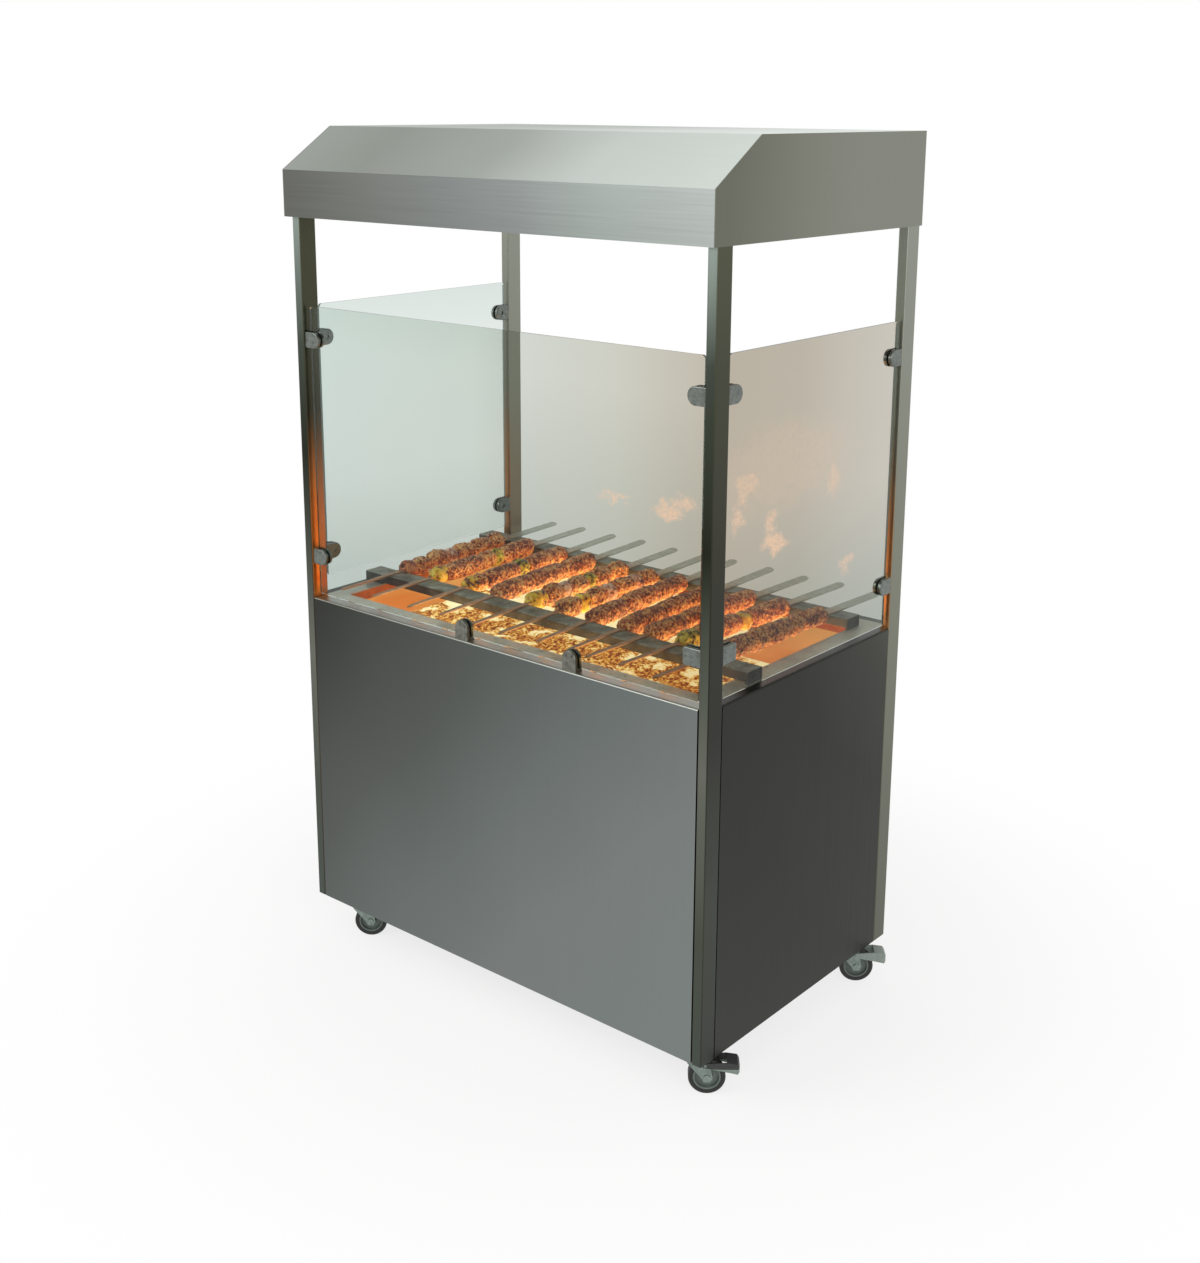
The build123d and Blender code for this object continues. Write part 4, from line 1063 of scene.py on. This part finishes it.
@dataclass
class EmberBed:
    """The burning charcoal: one lumpy bed on the grate and a thin spill over the bricks."""

    step: float = 4.6 * MM
    lump: float = 30.0 * MM
    height: float = 17.0 * MM
    spacing: float = 1.35
    jitter: float = 0.35
    size_spread: tuple[float, float] = (0.75, 1.25)
    rise_spread: tuple[float, float] = (0.6, 1.0)
    crumb_size: float = 10.0 * MM
    crumb_height: float = 0.9 * MM
    crumb_waves: int = 20
    least: float = 0.4 * MM
    over_brick: float = 12.0 * MM
    brick_gap: float = 0.3 * MM
    spill_depth: float = 300.0 * MM
    spill_slant: float = 0.35
    spill_rise: float = 6.0
    spill_curve: float = 0.7
    seed: int = 7
    bed: Embers = Embers("burning_charcoal")

    def heights(self, x: np.ndarray, y: np.ndarray, rng: np.random.Generator) -> np.ndarray:
        """Give the bed's surface as the highest of many rounded lumps, from 0 to 1.

        Each lump is the upper half of an ellipsoid on a jittered grid.

        Args:
            x: Grid of x values.
            y: Grid of y values.
            rng: Source of the jitter.

        Returns:
            The heights, as a share of the lumps' height.
        """
        spacing = self.lump * self.spacing
        columns = np.arange(x.min(), x.max() + spacing, spacing)
        rows = np.arange(y.min(), y.max() + spacing, spacing)
        centres = np.stack(np.meshgrid(columns, rows, indexing="ij"), axis=-1).reshape(-1, 2)
        centres = centres + rng.uniform(-self.jitter, self.jitter, centres.shape) * spacing
        sizes = self.lump * rng.uniform(*self.size_spread, len(centres))
        tall = rng.uniform(*self.rise_spread, len(centres))
        result = np.zeros_like(x)
        for (cx, cy), size, rise in zip(centres, sizes, tall):
            gap = ((x - cx) ** 2 + (y - cy) ** 2) / size ** 2
            result = np.maximum(result, rise * np.sqrt(np.clip(1 - gap, 0, None)))
        return result

    def build(self) -> bpy.types.Object:
        """Make the embers and replace the CAD solids.

        Returns:
            The new object.
        """
        rng = np.random.default_rng(self.seed)
        low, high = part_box("charcoal_bed")
        bricks = vertices_of(bpy.data.objects["firebrick_lining"])
        left, right = (corner.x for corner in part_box("charcoal_grate"))
        brick_top = bricks[:, 2].max()
        surface = Surface()
        crumbs = Relief(rng, self.crumb_size, self.crumb_waves)

        def lay(x0: float, x1: float, y0: float, y1: float, base: float, top: float,
                spill: bool) -> None:
            """Lay one slab of embers over a rectangle.

            Args:
                x0: Left edge.
                x1: Right edge.
                y0: Front edge.
                y1: Rear edge.
                base: Height of its underside.
                top: Height of its highest lumps.
                spill: Whether the slab thins out towards the rear right.
            """
            across = np.linspace(x0, x1, max(4, int((x1 - x0) / self.step)))
            along = np.linspace(y0, y1, max(4, int((y1 - y0) / self.step)))
            x, y = np.meshgrid(across, along, indexing="ij")
            rise = self.heights(x, y, rng)
            place = np.stack([x, y, np.zeros_like(x)], axis=-1)
            z = top - self.height * (1 - rise) + crumbs.at(place) * self.crumb_height
            if spill:
                share = (y1 - y) / (y1 - y0) - self.spill_slant * (x - x0) / (x1 - x0)
                thick = np.clip(share * self.spill_rise, 0.0, 1.0) ** self.spill_curve
                z = base + self.least + (z - base) * thick
            surface.join(*closed_slab(x, y, np.clip(z, base + self.least, top), np.full_like(x, base)))

        lay(left, right, low.y, high.y, low.z, min(high.z, brick_top + self.over_brick), False)
        lay(right + self.brick_gap, high.x, low.y, low.y + self.spill_depth, brick_top, high.z, True)
        piece = surface.make("ember_bed", [self.bed], "cabinet", "charcoal")
        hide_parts("charcoal_bed")
        return piece


@dataclass
class Cabinet:
    """The sheet-metal body, its frame, doors and ash drawer."""

    # Tone ramps of the sheets: painted reflection and shade across each piece; ledge is painted reflection
    # on the front panel's upward faces.
    front: Stops = ((0.0, "#363733"), (0.3, "#575b58"), (0.5, "#6b716f"), (0.7, "#7a7f7d"),
                    (1.0, "#7d8481"))
    ledge: Stops = ((0.0, "#8c8e86"), (1.0, "#9a9c94"))
    side: Stops = ((0.0, "#383a34"), (0.35, "#2d2e29"), (0.65, "#292a25"), (0.85, "#383a33"),
                   (1.0, "#4e5048"))
    rear: Stops = ((0.0, "#55574f"), (1.0, "#6d706b"))
    leaf: Stops = ((0.0, "#5c5e5a"), (1.0, "#777b77"))
    tube: Stops = ((0.0, "#4c4d49"), (1.0, "#63655f"))

    def finishes(self) -> dict[str, Finish]:
        """Give the finish of each CAD node of the cabinet."""
        down = {"run": (0.0, 0.676, 0.638), "span": (-0.186, 0.814)}
        return {
            "front_panel": BrushedSheet("front_sheet", self.front, run=(0.54, 0.0, -0.4847),
                                        span=(-0.7385, 0.2615), turned_tones=self.ledge, cloud=0.04,
                                        streak=0.02),
            "right_side_panel": BrushedSheet("right_sheet", self.side, **down),
            "left_side_panel": BrushedSheet("left_sheet", self.side, **down),
            "rear_panel": BrushedSheet("rear_sheet", self.rear),
            "left_door": BrushedSheet("left_door_sheet", self.leaf),
            "right_door": BrushedSheet("right_door_sheet", self.leaf),
            "ash_drawer": BrushedSheet("drawer_sheet", self.leaf, grain=(0.35, 0.004, 0.004)),
            "cabinet_floor": BrushedSheet("floor_sheet", self.tube),
            "base_frame": BrushedSheet("frame_tube", self.tube, roughness=0.42),
            "drawer_runners": BrushedSheet("runner_sheet", self.tube),
            "door_hinge_pins": BrushedSheet("hinge_steel", self.leaf),
        }


@dataclass
class Superstructure:
    """The corner posts, the hood and the glass with its clamps."""

    # Tone ramps: painted reflection and shade up the posts, across the hood and along its cheeks; the side
    # ramps and slope are painted reflection on faces that look another way.
    post: Stops = ((0.0, "#4a514a"), (0.17, "#4a4f46"), (0.33, "#696b62"), (0.46, "#50544b"),
                   (0.62, "#24281d"), (0.8, "#42483f"), (0.96, "#88938b"))
    post_side: Stops = ((0.0, "#373a35"), (0.2, "#40433c"), (0.38, "#2e2f2a"), (0.62, "#36362c"),
                        (0.96, "#525444"))
    rear_post: Stops = ((0.0, "#52544a"), (0.6, "#6c6e62"), (1.0, "#888c82"))
    rear_post_side: Stops = ((0.0, "#5c5e52"), (0.5, "#7c7e70"), (1.0, "#909389"))
    fascia: Stops = ((0.0, "#5d5e5a"), (0.2, "#6a6c67"), (0.4, "#737775"), (0.6, "#7d8180"),
                     (0.8, "#8d9490"), (1.0, "#9ca19e"))
    slope: Stops = ((0.0, "#949992"), (0.2, "#8a9088"), (0.5, "#9ea59d"), (0.75, "#c4cac4"),
                    (1.0, "#d0d8d1"))
    cheek: Stops = ((0.0, "#6b6d61"), (0.35, "#7d7f73"), (0.6, "#84857b"), (1.0, "#83857b"))
    side_tints: Stops = ((0.0, "#b8af9f"), (0.35, "#b9b2a3"), (0.62, "#c2bcb0"), (1.0, "#cac6bb"))
    left_tints: Stops = ((0.0, "#fbfdfc"), (1.0, "#f8faf9"))
    # Patches of painted fire reflection on the front and right panes.
    front_painted_flames: tuple[PaintedFlame, ...] = (
        PaintedFlame((0.344, -0.402, 1.277), (0.055, 1.0, 0.008), 0.7),
        PaintedFlame((0.483, -0.402, 1.270), (0.052, 1.0, 0.022)),
        PaintedFlame((0.520, -0.402, 1.292), (0.030, 1.0, 0.018), 0.7))
    side_painted_flames: tuple[PaintedFlame, ...] = (
        PaintedFlame((0.581, -0.318, 1.256), (1.0, 0.032, 0.034), 0.7),
        PaintedFlame((0.581, -0.190, 1.180), (1.0, 0.060, 0.030)),
        PaintedFlame((0.581, -0.200, 1.222), (1.0, 0.030, 0.034), 0.7),
        PaintedFlame((0.581, -0.287, 1.312), (1.0, 0.052, 0.036), 0.6),
        PaintedFlame((0.581, 0.034, 1.272), (1.0, 0.034, 0.050), 0.5),
        PaintedFlame((0.581, 0.096, 1.080), (1.0, 0.040, 0.022), 0.6),
        PaintedFlame((0.581, -0.150, 1.340), (1.0, 0.300, 0.120), 0.22))

    def finishes(self) -> dict[str, Finish]:
        """Give the finish of each CAD node above the worktop."""
        rise = {"run": (0.0, 0.0, 1.0), "span": (0.1, 1.9), "cloud": 0.05, "roughness": 0.34}
        across = {"across": (1.0, 0.0, 0.0), "along": (0.0, 1.0, 0.0), "span": (-0.35, 0.33)}
        return {
            # The fire colours of the posts are painted firelight on faces that look at the fire.
            "front_posts": BrushedSheet("front_post_tube", self.post, turned=(1.0, 0.0, 0.0),
                                        turned_tones=self.post_side, fire="#cc8244", **rise),
            "rear_posts": BrushedSheet("rear_post_tube", self.rear_post, turned=(1.0, 0.0, 0.0),
                                       turned_tones=self.rear_post_side, fire="#a4764f",
                                       fire_way=(-0.2, -1.0, 0.0), **rise),
            "hood_canopy": BrushedSheet("hood_sheet", self.fascia, turned_tones=self.slope,
                                        grain=(0.35, 0.004, 0.004), streak=0.02),
            "hood_cheeks": BrushedSheet("cheek_sheet", self.cheek, run=(0.0, 1.0, 0.0), span=(-0.4, 0.35)),
            "front_glass": Pane("front_pane", painted_flames=self.front_painted_flames),
            "left_glass": Pane("left_pane", tints=self.left_tints, film="#dfe7e3", film_z=(1.6, 1.15),
                               **across),
            "right_glass": Pane("right_pane", tints=self.side_tints, painted_flames=self.side_painted_flames,
                                film="#dce9ec", film_z=(0.95, 1.25), **across),
            "glass_clamps": Moulded("clamp_zinc", "#7c817c", "#5c615c", mottle=0.01, roughness=0.3,
                                    metallic=0.9, relief=0.05, low_tones=("#7e7e74", "#54554e"),
                                    low_z=0.935),
            "clamp_pads": Moulded("clamp_pad_rubber", "#1c1c1b", "#111110", mottle=0.004, roughness=0.7),
        }


@dataclass
class FireDeck:
    """The worktop, the trough with bricks, grate and embers, and the two skewer rails."""

    worktop: Finish = SootySteel("worktop_sheet", "#e6e0d6", "#9a9488", "#c4beb2", patch=0.12, speck=0.01,
                                 soot_share=0.1, roughness=0.4, metal=0.4)
    # The trough's glow is painted firelight.
    trough: Finish = SootySteel("trough_sheet", "#c8742e", "#5a2c14", "#a8541e", patch=0.05, speck=0.01,
                                soot_share=0.3, roughness=0.6, glow="#e8761e", glow_strength=0.35)
    brick: Finish = Firebrick("hot_firebrick")
    grate: Finish = SootySteel("grate_iron", "#3a2a20", "#1c1410", "#4a2a18")
    # The rails' side faces take painted shade.
    front_rail: Finish = SootySteel("front_rail_tube", "#a3a298", "#55514a", "#7e7668", metal=0.4,
                                    painted_wall_shade=0.18)
    rear_rail: Finish = SootySteel("rear_rail_tube", "#94958b", "#504d47", "#747065", soot_share=0.3,
                                   metal=0.4, painted_wall_shade=0.3)

    def finishes(self) -> dict[str, Finish]:
        """Give the finish of each CAD node of the worktop."""
        return {
            "deck_frame": self.worktop, "fire_trough": self.trough, "firebrick_lining": self.brick,
            "charcoal_grate": self.grate, "front_skewer_rail": self.front_rail,
            "rear_skewer_rail": self.rear_rail}


@dataclass
class Castors:
    """The four castors with their brakes."""

    names: tuple[str, ...] = ("front_left", "front_right", "rear_left", "rear_right")
    zinc: Finish = Moulded("bright_zinc_plate", "#8d9a92", "#6f7a74", mottle=0.012, roughness=0.3,
                           metallic=0.95, relief=0.05)
    brakes: tuple[Finish, ...] = (
        Moulded("front_brake_nylon", "#3a3c3a", "#242625", mottle=0.004, roughness=0.5,
                low_tones=("#8c9a90", "#76837a"), low_z=0.063),
        Moulded("rear_brake_nylon", "#9aa59d", "#848f87", mottle=0.004, roughness=0.5))

    def finishes(self, joints: list[dict]) -> dict[str, Finish]:
        """Give the finish of each CAD node of the castors.

        Args:
            joints: The record's joints, which tell each wheel's axle.

        Returns:
            Finish by node name.
        """
        front, rear = self.brakes
        result: dict[str, Finish] = {
            "castor_plates": self.zinc, "brake_pedal_front_right": front, "brake_pedal_rear_right": rear}
        axles = {joint["name"]: joint for joint in joints}
        for name in self.names:
            axle = axles[f"wheel_{name}_spin"]
            heading = math.atan2(-axle["axis"][0], axle["axis"][1])
            result[f"castor_fork_{name}"] = self.zinc
            result[f"castor_wheel_{name}"] = WheelFinish(
                f"castor_wheel_{name}", tuple(axle["pos_m"]), heading)
        return result


def dress(nodes: Nodes, finishes: dict[str, Finish]) -> None:
    """Give CAD nodes their finishes.

    Args:
        nodes: CAD nodes by name.
        finishes: Finish by node name.
    """
    for name, finish in finishes.items():
        mesh = nodes[name].data
        mesh.materials.clear()
        mesh.materials.append(finish.make())
        LOG.info("dressed %s as %s", name, finish.name)


@dataclass
class Studio:
    """A pale floor in a white world, soft lamps and the camera at the photograph's viewpoint."""

    floor_reach: float = 40.0
    camera_place: Point = (2.3568, -2.8602, 2.046)
    yaw: float = 129.9
    pitch: float = -13.9
    roll: float = 0.27
    lens: float = 46.49
    sensor: float = 36.0
    shift_y: float = -0.10
    clip: tuple[float, float] = (0.05, 200.0)
    daylight: float = 0.62
    lamps: tuple[tuple[str, Point, float], ...] = (
        ("key_lamp", (-2.6, -4.2, 3.6), 110.0), ("fill_lamp", (4.2, -2.4, 2.8), 60.0))
    lamp_size: float = 2.6
    lamp_aim: Point = (0.0, 0.0, 0.9)
    ember_light: str = "#ffca8c"
    ember_power: float = 7.0

    def floor(self) -> None:
        """Lay the floor just under the castors."""
        reach = self.floor_reach
        mesh = bpy.data.meshes.new("studio_floor")
        mesh.from_pydata([(-reach, -reach, 0), (reach, -reach, 0), (reach, reach, 0), (-reach, reach, 0)],
                         [], [(0, 1, 2, 3)])
        mesh.materials.append(StudioFloor("studio_floor_paint").make())
        plane = bpy.data.objects.new("studio_floor", mesh)
        bpy.context.scene.collection.objects.link(plane)

    def world(self) -> None:
        """Make the world: white where it is seen, softer where it lights."""
        world = bpy.data.worlds.new("studio_world")
        bpy.context.scene.world = world
        world.use_nodes = True
        tree = world.node_tree
        tree.nodes.clear()
        strength = add(tree, "MapRange", {"Value": seen(tree), "To Min": self.daylight, "To Max": 1.0})
        light = add(tree, "Background", {"Color": (1.0, 1.0, 1.0, 1.0), "Strength": strength})
        add(tree, "OutputWorld", {"Surface": light})

    def lamp(self, name: str, place: Point, aim: Point, size: float, power: float) -> bpy.types.Object:
        """Hang one square area lamp.

        Args:
            name: Name of the lamp.
            place: Where it hangs.
            aim: Point that it faces.
            size: Side length in metres.
            power: Power in watts.

        Returns:
            The lamp.
        """
        data = bpy.data.lights.new(name, "AREA")
        data.size = size
        data.energy = power
        lamp = bpy.data.objects.new(name, data)
        lamp.location = place
        lamp.rotation_euler = (Vector(aim) - Vector(place)).to_track_quat("-Z", "Y").to_euler()
        bpy.context.scene.collection.objects.link(lamp)
        return lamp

    def glow(self) -> None:
        """Lay an unseen warm lamp on the embers, for the light that they throw on the food."""
        low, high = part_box("charcoal_bed")
        middle = (low + high) / 2
        place, aim = ((middle.x, middle.y, high.z + rise) for rise in (0, 1))
        lamp = self.lamp("ember_glow", place, aim, high.x - low.x, self.ember_power)
        lamp.data.shape = "RECTANGLE"
        lamp.data.size_y = high.y - low.y
        lamp.data.color = linear(self.ember_light)[:3]
        lamp.visible_camera = False
        lamp.visible_transmission = False

    def camera(self) -> None:
        """Set the camera: yaw from +X, pitch above the horizon and a small roll, in degrees."""
        yaw, pitch, roll = (math.radians(a) for a in (self.yaw, self.pitch, self.roll))
        flat = math.cos(pitch)
        ahead = Vector((flat * math.cos(yaw), flat * math.sin(yaw), math.sin(pitch)))
        level = Vector((math.sin(yaw), -math.cos(yaw), 0.0))
        above = level.cross(ahead)
        right = math.cos(roll) * level + math.sin(roll) * above
        up = -math.sin(roll) * level + math.cos(roll) * above
        data = bpy.data.cameras.new("photo_camera")
        data.lens = self.lens
        data.sensor_width = self.sensor
        data.shift_y = self.shift_y
        data.clip_start, data.clip_end = self.clip
        camera = bpy.data.objects.new("photo_camera", data)
        turn = Matrix((right, up, -ahead)).transposed().to_4x4()
        camera.matrix_world = Matrix.Translation(self.camera_place) @ turn
        bpy.context.scene.collection.objects.link(camera)
        bpy.context.scene.camera = camera

    def build(self) -> None:
        """Build floor, world, lamps and camera."""
        bpy.context.scene.view_settings.view_transform = "Standard"
        self.floor()
        self.world()
        for name, place, power in self.lamps:
            self.lamp(name, place, self.lamp_aim, self.lamp_size, power)
        self.glow()
        self.camera()


def main() -> None:
    """Load the frame, dress it, add food and embers, and set the studio."""
    logging.basicConfig(level=logging.INFO, format="%(message)s")
    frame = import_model()
    nodes = frame["nodes"]
    finishes = Cabinet().finishes() | Superstructure().finishes() | FireDeck().finishes()
    finishes |= Castors().finishes(frame["joints"])
    blade = SkewerSteel("flat_blade_steel")
    finishes |= {name: blade for name in nodes if name.startswith("skewer_")}
    dress(nodes, finishes)
    for pane in ("front_glass", "left_glass", "right_glass"):
        nodes[pane].visible_shadow = False
    for number in range(1, len(MENUS) + 1):
        LOG.info("threaded %s", SkeweredFood(number).build(nodes).name)
    LOG.info("laid %s", EmberBed().build().name)
    Studio().build()


if __name__ == "__main__":
    main()
